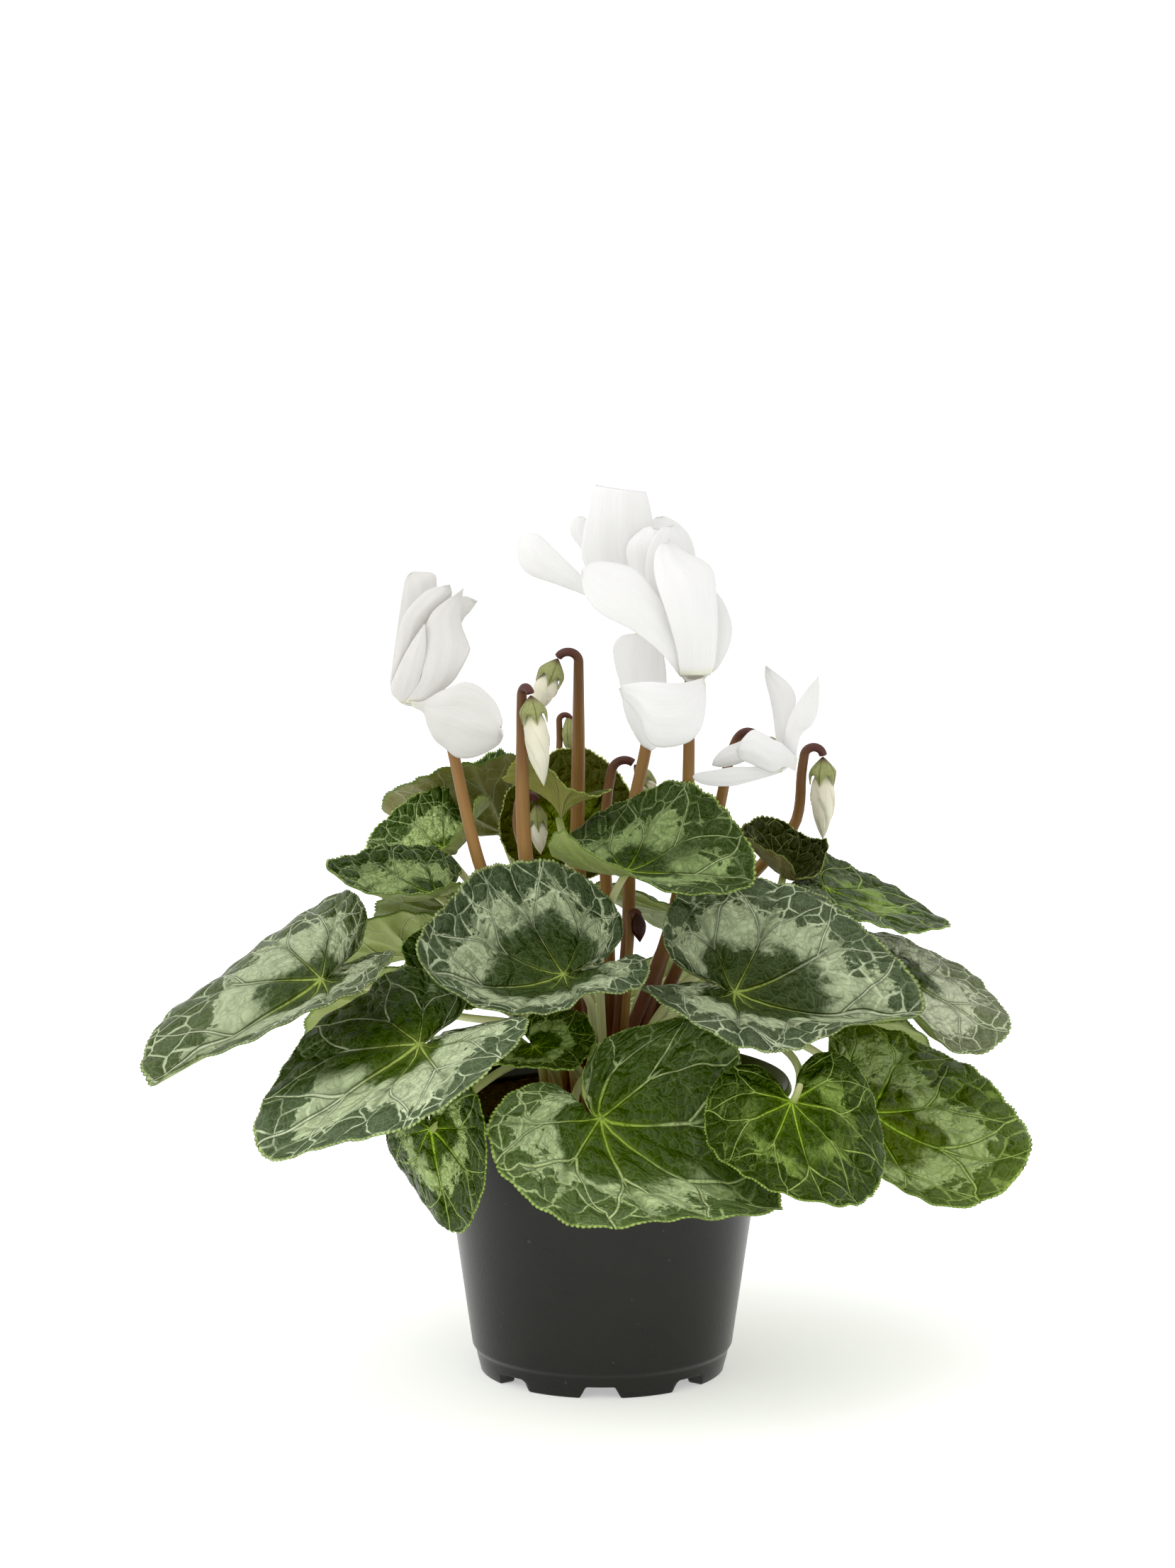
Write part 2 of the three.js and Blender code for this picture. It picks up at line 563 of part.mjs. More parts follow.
// A closed bud's outline past its shoulder, as [share of half its width, share of the length left]
const BUD_SHAPE = [[0.92, 0.1], [1, 0.35], [0.8, 0.6], [0.42, 0.82]];

// A closed bud: a slim spindle that hangs out of its calyx and ends in a point
function bud(end, axis, length, half) {
  const slim = half / FULL_BUD;
  const rest = length - BUD_SHOULDER;
  const profile = [
    ...INSIDE_CALYX.map(([radius, distance]) => [radius * slim, distance]),
    ...BUD_SHAPE.map(([wide, share]) => [half * wide, BUD_SHOULDER + rest * share]),
    [0, length],
    [0, INSIDE_CALYX[0][1]],
  ];
  return turnedAlong(profile, BUD_SIDES, end, axis);
}

// Half of a petal's width at a share of its length: a neck, the widest place, then a round or pointed end
function petalWidth(petal, share) {
  const neck = petal.neck + (1 - petal.neck) * Math.sin(Math.PI / 2 * Math.min(1, share / petal.peak));
  if (share <= petal.peak) return petal.half * neck;
  const past = (share - petal.peak) / (1 - petal.peak);
  return petal.half * Math.max(petal.end, (1 - past ** petal.blunt) ** petal.soft);
}

// A point of a petal: across runs from -1 to 1, and face turns the petal about its midline, 0 facing the front
function petalPoint(petal, curve, share, across) {
  const tangent = curve.getTangent(share);
  const sideways = tangent.clone().cross(new THREE.Vector3(0, 1, 0)).normalize();
  const flat = petal.level ? new THREE.Vector3(1, 0, 0) : sideways;
  const deep = flat.clone().cross(tangent).normalize();
  const angle = radians(petal.face[0] + (petal.face[1] - petal.face[0]) * share);
  const wide = flat.clone().multiplyScalar(Math.cos(angle)).addScaledVector(deep, Math.sin(angle));
  const normal = wide.clone().cross(tangent).normalize();
  const half = petalWidth(petal, share);
  const cup = petal.cup * half * (across ** 2 - PETAL_LEVEL) * Math.min(1, share * PETAL_OPENS);
  return curve.getPoint(share).addScaledVector(wide, half * across).addScaledVector(normal, cup);
}

// from is the turn round the mouth where the petal grows, 270 at the front; path is relative to the mouth
const PETAL_SHAPE = {
  half: 6, face: [0, 0], cup: 0.25, neck: 0.4, peak: 0.55, blunt: 2, soft: 0.5, end: 0.08, level: false,
};

function petal(own, mouth, axes) {
  const shape = { ...PETAL_SHAPE, ...own };
  const turn = radians(shape.from);
  const rim = CUP_RADIUS - CUP_WALL / 2;
  const root = mouth.clone().addScaledVector(axes.up, 1);
  root.addScaledVector(axes.right, rim * Math.cos(turn)).addScaledVector(axes.back, rim * Math.sin(turn));
  const path = shape.path.map((place) => vector(place).add(mouth));
  const curve = new THREE.CubicBezierCurve3(root, ...path);
  const points = [];
  for (let row = 0; row <= PETAL_ROWS; row += 1) {
    for (let column = 0; column <= PETAL_COLUMNS; column += 1) {
      points.push(petalPoint(shape, curve, row / PETAL_ROWS, 2 * column / PETAL_COLUMNS - 1));
    }
  }
  const faces = [];
  for (let row = 0; row < PETAL_ROWS; row += 1) {
    for (let column = 0; column < PETAL_COLUMNS; column += 1) {
      const near = row * (PETAL_COLUMNS + 1) + column;
      const far = near + PETAL_COLUMNS + 1;
      faces.push([near, near + 1, far + 1], [near, far + 1, far]);
    }
  }
  return sheet(points, faces, PETAL);
}

// The corolla: a short cup that opens at its mouth, with petals that leave its rim
function corolla(flower, end) {
  const mouth = vector(flower.mouth);
  const up = end.clone().sub(mouth).normalize();
  const right = new THREE.Vector3(0, 1, 0).cross(up).normalize();
  const axes = { up, right, back: up.clone().cross(right) };
  const length = end.distanceTo(mouth);
  const hollow = length - CALYX_LENGTH;
  const profile = [
    [CUP_RADIUS, 0],
    [CUP_RADIUS, hollow * CUP_EDGE],
    ...INSIDE_CALYX.map(([radius, distance]) => [radius, length - distance]).reverse(),
    [0, hollow + CUP_FLOOR],
    [CUP_FLOOR_RADIUS, hollow],
    [CUP_RADIUS - CUP_WALL, hollow * CUP_EDGE],
    [CUP_RADIUS - CUP_WALL, 0],
    [CUP_RADIUS, 0],
  ];
  let body = turnedAlong(profile, CUP_SIDES, mouth, up);
  for (const own of flower.petals) body = body.add(petal(own, mouth, axes));
  return body;
}

// Stalks bend by turn degrees round a hook of that radius, towards a heading
const STALK = { radius: 1.95, topRadius: 1.35, hook: 3.4, turn: 150 };

const FLOWERS = {
  left: {
    mouth: [-61, -6, 217],
    stalk: { spot: [-8, 5], hook: 3.4, turn: 130, towards: 224,
      path: [[-15, 3, 118], [-26.5, -2, 140], [-37.8, -6, 161.8], [-46.4, 3, 196], [-51.9, 7, 222.2]] },
    petals: [
      { from: 170, path: [[-3, 1, 12], [3.5, 8, 25.8], [4.5, 12, 37.8]], half: 5.6, blunt: 4, end: 0.7 },
      { from: 205, path: [[-5, -5, 12], [0, -3, 26.8], [14, 2, 33.5]], half: 5, face: [50, 40], cup: 0.5 },
      { from: 255, path: [[-1, -9, 8], [3, -11, 15.2], [6.5, -12, 23.8]], half: 3.6, face: [10, 10],
        blunt: 1.5 },
      { from: 330, path: [[11, -10, 8], [13, -12, 22.2], [17.5, -12, 34]], half: 6.6, blunt: 1.6, soft: 0.8 },
      { from: 325, path: [[12, -6, 8], [15, -2, 19.6], [22, 2, 28.2]], half: 4.6, blunt: 1.5 },
      { from: 300, path: [[10, -9, 0], [17, -12, -4.8], [29.5, -14, -8.4]], half: 12.6, cup: 0.2, neck: 0.2,
        peak: 0.6, end: 0.3 },
    ],
  },
  middle: {
    mouth: [28.6, -8, 225],
    stalk: { spot: [3, -1], hook: 5, turn: 135, towards: 272,
      path: [[20, 12, 135], [26.4, 18, 166], [27.2, 18, 188], [27.3, 14, 210], [27.4, 10, 228]] },
    petals: [
      { from: 215, path: [[-8, -8, 13], [-19, -12, 24.4], [-30, -14, 32.5]], half: 8.4, face: [10, 20],
        blunt: 4, end: 0.6 },
      { from: 285, path: [[2, -10, 14], [1, -12, 27.5], [-1, -12, 39]], half: 6, blunt: 3 },
      { from: 230, path: [[-6, -5, 14], [-11, 2, 28.4], [-9, 8, 41]], half: 5.5 },
      { from: 0, path: [[9, -2, 5], [11, 2, 12.5], [7, 4, 23.4]], half: 4.2, face: [20, 20] },
      { from: 310, path: [[4, -6, 12], [2, 5, 31.2], [-7, 10, 46]], half: 7.5, blunt: 2.6 },
      { from: 200, path: [[-12, -7, -3], [-11, -10, -11.6], [-8.5, -12, -21.8]], half: 12.8, neck: 0.7,
        peak: 0.3, blunt: 2.4, end: 0.3, level: true },
    ],
  },
  middle_back: {
    mouth: [14.7, 14, 234],
    stalk: { spot: [1, 6], hook: 4, turn: 140, towards: 253,
      path: [[8, 16, 135], [9, 24, 170], [14, 27, 196], [17.6, 27, 224], [18.4, 26, 240]] },
    petals: [
      { from: 230, path: [[-6, -6, 15], [-10, -6, 30.8], [-8.5, -2, 44.6]], half: 10.5, blunt: 6, end: 0.75 },
      { from: 180, path: [[-11, -2, 9], [-25, 2, 17.2], [-41, 8, 23.3]], half: 6.4, face: [0, 15], peak: 0.8,
        blunt: 4, end: 0.7 },
      { from: 200, path: [[-8, -1, 12], [-16, 6, 23.4], [-23, 12, 31.8]], half: 4.5 },
      { from: 320, path: [[6, -3, 12], [8, 4, 25.4], [4, 10, 37]], half: 6 },
      { from: 275, path: [[-3, -9, -3], [-3.5, -9, -21.8], [-1, -9, -35.5]], half: 8.5, peak: 0.4,
        level: true },
    ],
  },
  right: {
    mouth: [56.4, 4, 194.5],
    stalk: { spot: [7, 5], hook: 6, turn: 118, towards: 316,
      path: [[20, 16, 132], [33, 22, 162], [36.8, 22, 175.3], [40.1, 20, 192.4], [42, 19, 198]] },
    petals: [
      { from: 20, path: [[-3, -2, 11], [1, 2, 19.8], [-4.5, 7, 27.6]], half: 4.6, blunt: 1.5, soft: 0.8 },
      { from: 10, path: [[6, -1, 8], [9, -3, 17.7], [11, -6, 27.4]], half: 4.4, blunt: 1.5, soft: 0.8 },
      { from: 280, path: [[2, -8, 3], [-6, -12, 3.8], [-14, -11, 4.5]], half: 6.5, face: [0, 10], cup: -0.4 },
      { from: 215, path: [[-10, -4, -5], [-18, -7, -5.7], [-27.5, -8, -5.2]], half: 6, face: [62, 66] },
      { from: 200, path: [[-9, 0, -2], [-14, 5, 0.7], [-21, 8, -0.5]], half: 5, face: [20, 20] },
    ],
  },
};

for (const [name, flower] of Object.entries(FLOWERS)) {
  const own = { ...STALK, ...flower.stalk };
  const points = stalkPoints(own);
  const end = points.at(-1);
  const axis = vector(flower.mouth).sub(end).normalize();
  add(`stalk_flower_${name}`, geometryOf(stem(points, own.radius, own.topRadius)), STEM);
  add(`calyx_flower_${name}`, geometryOf(calyx(end, axis, CALYX_RADIUS)), SEPAL);
  add(`corolla_${name}`, geometryOf(corolla(flower, end)), WHITE);
}

// Buds: tip is where the bud points to, and half is half its width
const BUDS = {
  left: { spot: [-6, -2], path: [[-16, -3, 128], [-24, -2, 165], [-25.2, 2, 205], [-25.2, 1.6, 216.4]],
    hook: 2.5, turn: 155, towards: 304, tip: [-18.3, -4, 188], half: 3.9 },
  middle: { spot: [-1, 9], path: [[-6, 28, 128], [-7.8, 39, 162], [-7.6, 34, 194], [-7.5, 24, 223]],
    hook: 3.4, turn: 150, towards: 180, tip: [-18.7, 22, 208.8], half: 3.7 },
  right: { spot: [11, 5],
    path: [[28, 24, 132], [52, 46, 154], [62.2, 50, 166.5], [63.9, 47, 183], [64.7, 46, 189]],
    hook: 3, turn: 165, towards: 0, tip: [70.8, 46, 161.2], half: 4 },
  back: { spot: [3, 12], path: [[2, 28, 130], [1, 35, 158], [1.5, 36, 176], [3, 36, 185.6]],
    hook: 4.2, turn: 120, towards: 0, tip: [16.9, 36, 178.8], half: 2.6 },
  low: { spot: [-5, 9], path: [[-10, 14, 125], [-20, 20, 150], [-26.5, 26, 168], [-26.6, 26.6, 176.4]],
    hook: 3, turn: 155, towards: 0, tip: [-20.3, 26, 160.4], half: 3.4 },
};

for (const [name, bare] of Object.entries(BUDS)) {
  const own = { ...STALK, ...bare };
  const points = stalkPoints(own);
  const end = points.at(-1);
  const axis = vector(own.tip).sub(end);
  const length = axis.length();
  axis.normalize();
  add(`stalk_bud_${name}`, geometryOf(stem(points, own.radius, own.topRadius)), STEM);
  add(`calyx_bud_${name}`, geometryOf(calyx(end, axis, own.half * CALYX_PER_BUD)), SEPAL);
  add(`bud_${name}`, geometryOf(bud(end, axis, length, own.half)), CREAM);
}

// Young buds still have the stalk's dark colour, and grow out of it in one piece
const YOUNG_BUDS = {
  dark: { spot: [-7, 13], path: [[-12, 36, 122], [-16, 62, 154], [-13.9, 74, 185], [-13.9, 74, 195.2]],
    hook: 1.9, turn: 165, towards: 0, tip: [-10.1, 74, 183.4], half: 2.5, topRadius: 1.2 },
  small: { spot: [5, 2], path: [[7.6, 1, 120], [8.4, 0, 138], [8.4, 0, 146]],
    hook: 1.6, turn: 165, towards: 0, tip: [11.8, 0, 137.4], half: 1.7, radius: 1.2, topRadius: 0.8 },
};

// Their outline, as [share of half the width, share of the length]
const YOUNG_SHAPE = [[1, 0.4], [0.8, 0.7]];

for (const [name, bare] of Object.entries(YOUNG_BUDS)) {
  const own = { ...STALK, ...bare };
  const points = stalkPoints(own);
  const end = points.at(-2);
  const axis = vector(own.tip).sub(end);
  const length = axis.length();
  axis.normalize();
  const profile = YOUNG_SHAPE.map(([wide, share]) => [own.half * wide, length * share]);
  const outline = [[0, 0], [own.topRadius, GAP], ...profile, [0, length], [0, 0]];
  const head = turnedAlong(outline, BUD_SIDES, end, axis);
  add(`young_bud_${name}`, geometryOf(stem(points, own.radius, own.topRadius).add(head)), STEM);
}

for (const [name, own] of Object.entries(LEAVES)) {
  const leaf = { ...LEAF, ...own };
  const axes = bladeAxes(leaf);
  const body = blade(leaf, axes).add(petiole(leaf, axes));
  add(name, geometryOf(body), leaf.color);
}

// The tuber has a plain hole for each stem that stands in it
function pierced(body) {
  let holed = body;
  for (const place of crown.filter((one) => one.radius > 0)) {
    const depth = 2 * TUBER_DEPTH;
    const radius = place.radius + GAP / Math.cos(Math.PI / STEM_SIDES);
    const drill = new THREE.CylinderGeometry(radius, radius, depth, STEM_SIDES);
    drill.rotateX(Math.PI / 2);
    drill.translate(place.x, place.y, tuberTop(place.distance) - HOLE_DEPTH - GAP + depth / 2);
    holed = holed.subtract(solid(drill));
  }
  return holed;
}

add('pot', pot(), PLASTIC);
add('soil', geometryOf(soil()), PEAT);
add('tuber', geometryOf(pierced(tuber())), CORK);

export default plant;
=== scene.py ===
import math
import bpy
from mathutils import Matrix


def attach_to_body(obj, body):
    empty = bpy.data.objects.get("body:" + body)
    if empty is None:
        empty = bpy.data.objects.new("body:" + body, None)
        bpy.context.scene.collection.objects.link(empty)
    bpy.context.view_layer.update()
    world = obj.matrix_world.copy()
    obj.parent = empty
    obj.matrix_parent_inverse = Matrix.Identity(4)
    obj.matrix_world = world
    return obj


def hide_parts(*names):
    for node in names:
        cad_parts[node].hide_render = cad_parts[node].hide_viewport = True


# A potted cyclamen: marbled leaves with fine veins and toothed edges, white flowers, hooked buds, and the pot
# with its soil and tuber. Every shape starts as a flat grid that a formula bends. Lengths are in millimetres
# from the middle of the pot's foot until a point becomes a vertex, and angles are in degrees.
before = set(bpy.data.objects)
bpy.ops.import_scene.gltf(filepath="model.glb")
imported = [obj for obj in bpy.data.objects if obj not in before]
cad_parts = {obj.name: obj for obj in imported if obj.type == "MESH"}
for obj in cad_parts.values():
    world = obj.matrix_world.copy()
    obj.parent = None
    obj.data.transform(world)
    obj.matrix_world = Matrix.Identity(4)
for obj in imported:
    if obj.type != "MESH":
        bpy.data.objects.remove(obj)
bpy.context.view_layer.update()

from types import SimpleNamespace

import bmesh
import bpy
import numpy as np
from mathutils import Vector, noise

MM = 0.001
STAND = np.array([4.6, 4.9, 0.0])
WELD = 2e-6

# Pot, soil and tuber
POT_HEIGHT = 93
POT_RIM_RADIUS = 60
POT_WALL = 1.3
POT_SLOPE = 0.142
POT_WALL_FOOT_RADIUS = 41.6
POT_WALL_FOOT_HEIGHT = 10.8
POT_SHOULDER_HEIGHT = 84
POT_BASE_RADIUS = 38.7
POT_FLOOR_HEIGHT = 5
POT_RING_RADIUS = 36.2
POT_ROUNDING = 0.55
POT_SIDES = 512
POT_NOTCHES = 8
FIRST_NOTCH = -91
NOTCH_HEIGHT = 3.9
NOTCH_TOP_WIDTH = 8.8
NOTCH_FOOT_WIDTH = 13.2
GAP = 0.3
SOIL_TOP = 84.5
SOIL_SIDES = 160
CRUMB_HEIGHT = 0.9
TUBER_RADIUS = 24
TUBER_DEPTH = 11
TUBER_CENTRE = 80
TUBER_SIDES = 96
BUMP_HEIGHT = 0.5
HOLE_DEPTH = 3
COLLAR = 1

# Leaves and their petioles
BLADE = 0.62
PETIOLE_RADIUS = 1.45
PETIOLE_TOP_RADIUS = 1.2
PETIOLE_SIDES = 14
PETIOLE_POINTS = 33
PETIOLE_ATTACH = 55
CROWN_SPACING = 2.95
CROWN_PLACES = 50
CROWN_FIRST = 0.4
GOLDEN_TURN = 137.508
TIP_WIDTH = 22
CLEFT = 176
WAVES = 7
SECTION_STEPS = 12
JOINT_FORWARD = 0.8
JOINT_INSIDE = 0.15
VEIN_SPACING = 42
TOOTH = 1.5
TOOTH_HEIGHT = 0.8
BAY_DEPTH = 0.7
LEAF_SEED = 3.7

# Shares of a petiole's span from the crown to the joint
PETIOLE_HOOK = 0.35
PETIOLE_RISE = 0.45

# Shares of a blade's length from its joint to its tip
OUTLINE_TIP = 0.16
CREASE = 0.06
SPAN = 0.8
LOBE = 0.6
WAVE = 0.015
GROOVE_WIDTH = 0.045
GROOVE_DEPTH = 0.02
PUFF_HEIGHT = 0.021
RUFFLE = 0.008

# Where a blade's rows lie, as shares of the way from its joint to its edge
RINGS = [0, 0.09, 0.19, 0.3, 0.41, 0.52, 0.62, 0.72, 0.81, 0.89, 0.945, 0.982, 1]

# Flowers and buds
CALYX_LENGTH = 5.6
CALYX_RADIUS = 3.6
CALYX_ROUND = 1.45
CALYX_PER_BUD = 1.06
BUD_CALYX_LENGTH = 9.2
SEPALS = 5
SEPAL = 0.5
SEPAL_NOTCH = 0.45
CUP_RADIUS = 4.4
CUP_WALL = 1.1
CUP_EDGE = 0.3
CUP_FLOOR = 0.5
CUP_FLOOR_RADIUS = 1.3
PETAL = 0.45
PETAL_RIPPLE = 0.06
PETAL_FINE_RIPPLE = 0.012
PETAL_SEED = 1.7
ANTHER_RADIUS = 1.25
FULL_BUD = 3.9
ROLLS = 5
ROLL_TURNS = 2.2
ROLL_STEP = 0.16
BUD_SHOULDER = 7
INSIDE_CALYX = [(0, 1.6), (0.9, 1.9), (1.8, 2.8), (2.35, 4.2), (2.45, BUD_SHOULDER)]
BUD_SHAPE = [(0.92, 0.1), (1, 0.35), (0.8, 0.6), (0.42, 0.82)]
YOUNG_SHAPE = [(1, 0.4), (0.8, 0.7)]
YOUNG_BUD_COVERS = 3
STALK_SIDES = 18
STALK_POINTS = 41
HOOK_POINTS = 15

# Each leaf: where its joint is, the length from joint to tip, its width as a share of that, and how it lies.
# heading is 0 along +X and 90 along +Y, pitch lifts the tip and roll lifts the left half. fold creases the
# midrib and curl bends each half, as [left, right]; tip and base bend the spine on each side of the joint,
# twist turns the blade about it towards the tip, lobe adds to the curl behind the joint, back draws the two
# lobes in, and each half fills cleft degrees round the joint. The petiole leaves the crown at a spot, or in
# the joint's direction at crown millimetres from the middle, and over is a place that it bends towards. A
# leaf with a rim is a young one, rolled to a trumpet.
LEAF = dict(width=1.05, roll=0, fold=[12, 12], curl=[8, 8], tip=-10, base=10, twist=0, lobe=[0, 0], back=0.5,
    cleft=CLEFT, crown=15, spot=None, over=None, rim=None)
LEAVES = {
    # Front and right
    "leaf_front_left_of_middle": dict(at=[-12, -39.5, 135.7], length=54, width=1.13, heading=190, pitch=-18,
        roll=-28, fold=[36, -12], curl=[0, 60], tip=66, base=0, twist=-18, lobe=[-70, 40], crown=9),
    "leaf_front_right": dict(at=[40.9, -32, 128.5], length=62, width=0.91, heading=-1, pitch=-21, roll=37,
        fold=[40, 50], curl=[-42, -50], tip=49, base=-40, twist=-7, lobe=[35, 45], back=0.6, crown=11),
    "leaf_front_low": dict(at=[-1, -76, 99], length=63, width=1.2, heading=-12, pitch=-42, roll=11,
        fold=[16, -12], curl=[50, 1], tip=36, base=60, twist=-29, lobe=[-37, -21], back=0.7, cleft=170,
        crown=18),
    "leaf_front_low_right": dict(at=[57.5, -68, 102.5], length=51, width=0.8, heading=-74, pitch=-49,
        roll=7, fold=[5, 0], curl=[-45, -10], tip=45, base=14, twist=-18, lobe=[6, -12], back=0.6,
        cleft=152, crown=18, over=[74, -48, 124]),
    "leaf_right_low": dict(at=[84.5, -12, 85.5], length=54, width=1.25, heading=2, pitch=-38, roll=31,
        fold=[-9, -1], curl=[3, 45], tip=55, base=27, twist=11, lobe=[-20, 35], back=0.55, crown=18,
        over=[66, -20, 122]),
    "leaf_right": dict(at=[92, 18, 126], length=43, width=1.3, heading=-4, pitch=-37, roll=27,
        fold=[-26, -7], curl=[2, 65], tip=18, base=-3, twist=13, lobe=[-17, -5], back=0.85, crown=14),
    "leaf_right_high": dict(at=[71, 30, 149], length=43, width=1.08, heading=10, pitch=-21, roll=12,
        fold=[-13, 10], curl=[25, -5], tip=7, base=-7, lobe=[-11, 5], back=0.8, crown=12),
    "leaf_top_right": dict(at=[7, -11, 162.6], length=42, width=1.23, heading=-14, pitch=1, roll=6,
        fold=[7, 15], curl=[29, 15], tip=0, base=20, twist=26, lobe=[13, 13], back=0.23, crown=6),
    # Left
    "leaf_left_high": dict(at=[-50.6, 40, 159.6], length=25.3, width=1.25, heading=176, pitch=-1, roll=-12,
        fold=[-2, 5], curl=[30, 33], tip=11, base=100, twist=-14, lobe=[-3, -65], back=0, spot=[-14, 6]),
    "leaf_left_upper": dict(at=[-51.5, -11, 155.6], length=38.5, width=1.07, heading=183, pitch=-13,
        roll=-5, fold=[19, 13], curl=[5, 18], tip=57, base=28, twist=-7, back=1.05, spot=[-13, 2],
        over=[-46, 4, 146]),
    "leaf_left": dict(at=[-87, -30, 132], length=63, width=1.2, heading=194, pitch=-30, roll=-35,
        fold=[50, -11], curl=[-7, -35], tip=8, base=15, twist=6, lobe=[-12, 9], back=0.65, crown=16),
    "leaf_front_left": dict(at=[-55.7, -72, 121], length=58.6, width=1.15, heading=198, pitch=-28, roll=-39,
        fold=[52, -28], curl=[-26, -8], tip=-9, base=-29, lobe=[11, 38], back=0.55, crown=16),
    "leaf_front_low_left": dict(at=[-53, -52, 90], length=34, width=1.1, heading=300, pitch=-74, roll=43,
        fold=[29, -42], curl=[12, -3], tip=-27, base=-55, twist=15, lobe=[7, 12], back=0.8, crown=18,
        over=[-36, -48, 107]),
    "leaf_front_small": dict(at=[-21, -50, 115.2], length=23, width=1.0, heading=292, pitch=-7, roll=24,
        fold=[-7, -4], curl=[19, 30], tip=3, twist=-28, lobe=[-34, -14], back=0, crown=14),
    # Tall ones at the back, and those between the others
    "leaf_back_left_high": dict(at=[-31.6, 80, 157.5], length=42.8, width=1.42, heading=175, pitch=-7,
        roll=38, fold=[11, 47], curl=[-9, 33], tip=35, base=36, twist=-9, lobe=[36, -3], back=0.65,
        spot=[-9, 14], over=[-27, 68, 140]),
    "leaf_back_high": dict(at=[-10.6, 54, 160], length=32.5, width=0.95, heading=82, pitch=62,
        fold=[15, 15], curl=[10, 10], base=30, back=0.4, spot=[-4, 16], over=[-13, 58, 130]),
    "leaf_young_funnel": dict(at=[-13, 14, 174.4], length=27, width=0.96, heading=147, pitch=1,
        spot=[-3, 4], over=[-9, 17, 152], rim=[[-9, 27, 180], [-2, 23, 180.5], [3, 14, 183.6],
        [-2, 8, 182.6], [-5.6, 5, 184.2], [-9.4, 3, 185.6], [-12.3, 2, 187.4], [-15, 2, 190.8],
        [-18, 3, 193], [-23, 5, 194.6], [-27, 8, 195], [-30, 11, 190.4], [-31.4, 14, 187.2], [-27, 20, 184],
        [-20, 25, 182], [-12, 27, 180]]),
    "leaf_right_cupped": dict(at=[58, 25, 154], length=26, width=1.02, heading=117, pitch=11, roll=30,
        fold=[3, 30], curl=[24, 70], tip=65, base=65, twist=-15, lobe=[0, 18], back=0.6, crown=9),
    "leaf_middle_left": dict(at=[-41, -16, 134], length=23, width=1.0, heading=182, pitch=8, roll=-55,
        fold=[10, 10], curl=[0, 20], tip=20, spot=[-14, -4]),
    "leaf_right_under": dict(at=[71, -2, 114.6], length=24, width=1, heading=3, pitch=-2, roll=-8,
        fold=[2, 2], curl=[2, -8], tip=-8, crown=17),
    "leaf_left_behind": dict(at=[-58, 28, 128], length=46, heading=172, pitch=-12, roll=18, crown=16),
    # Back of the plant
    "leaf_back_left_low": dict(at=[-56, 62, 104], length=50, heading=134, pitch=-38, roll=4, crown=20),
    "leaf_back_low": dict(at=[6, 84, 100], length=52, heading=88, pitch=-42, roll=-4, crown=20),
    "leaf_back_right_low": dict(at=[68, 56, 102], length=50, heading=40, pitch=-38, roll=4, spot=[18, 6]),
    "leaf_back_middle_left": dict(at=[-38, 66, 132], length=44, heading=124, pitch=-22, roll=4,
        spot=[-14, 12]),
    "leaf_back_middle_right": dict(at=[24, 68, 134], length=44, heading=72, pitch=-22, roll=-4, crown=18),
    "leaf_back_right": dict(at=[64, 45, 133], length=30, heading=30, pitch=-28, roll=4, spot=[12, 14]),
}

# A stalk rises from its spot on the crown through its path, and then bends by turn, towards a heading, in an
# arc whose radius is hook. Its own radius is radius at its foot and top_radius at its end, and swell is added
# in between.
STALK = dict(radius=1.95, top_radius=1.35, swell=0.3, hook=3.4, turn=150)

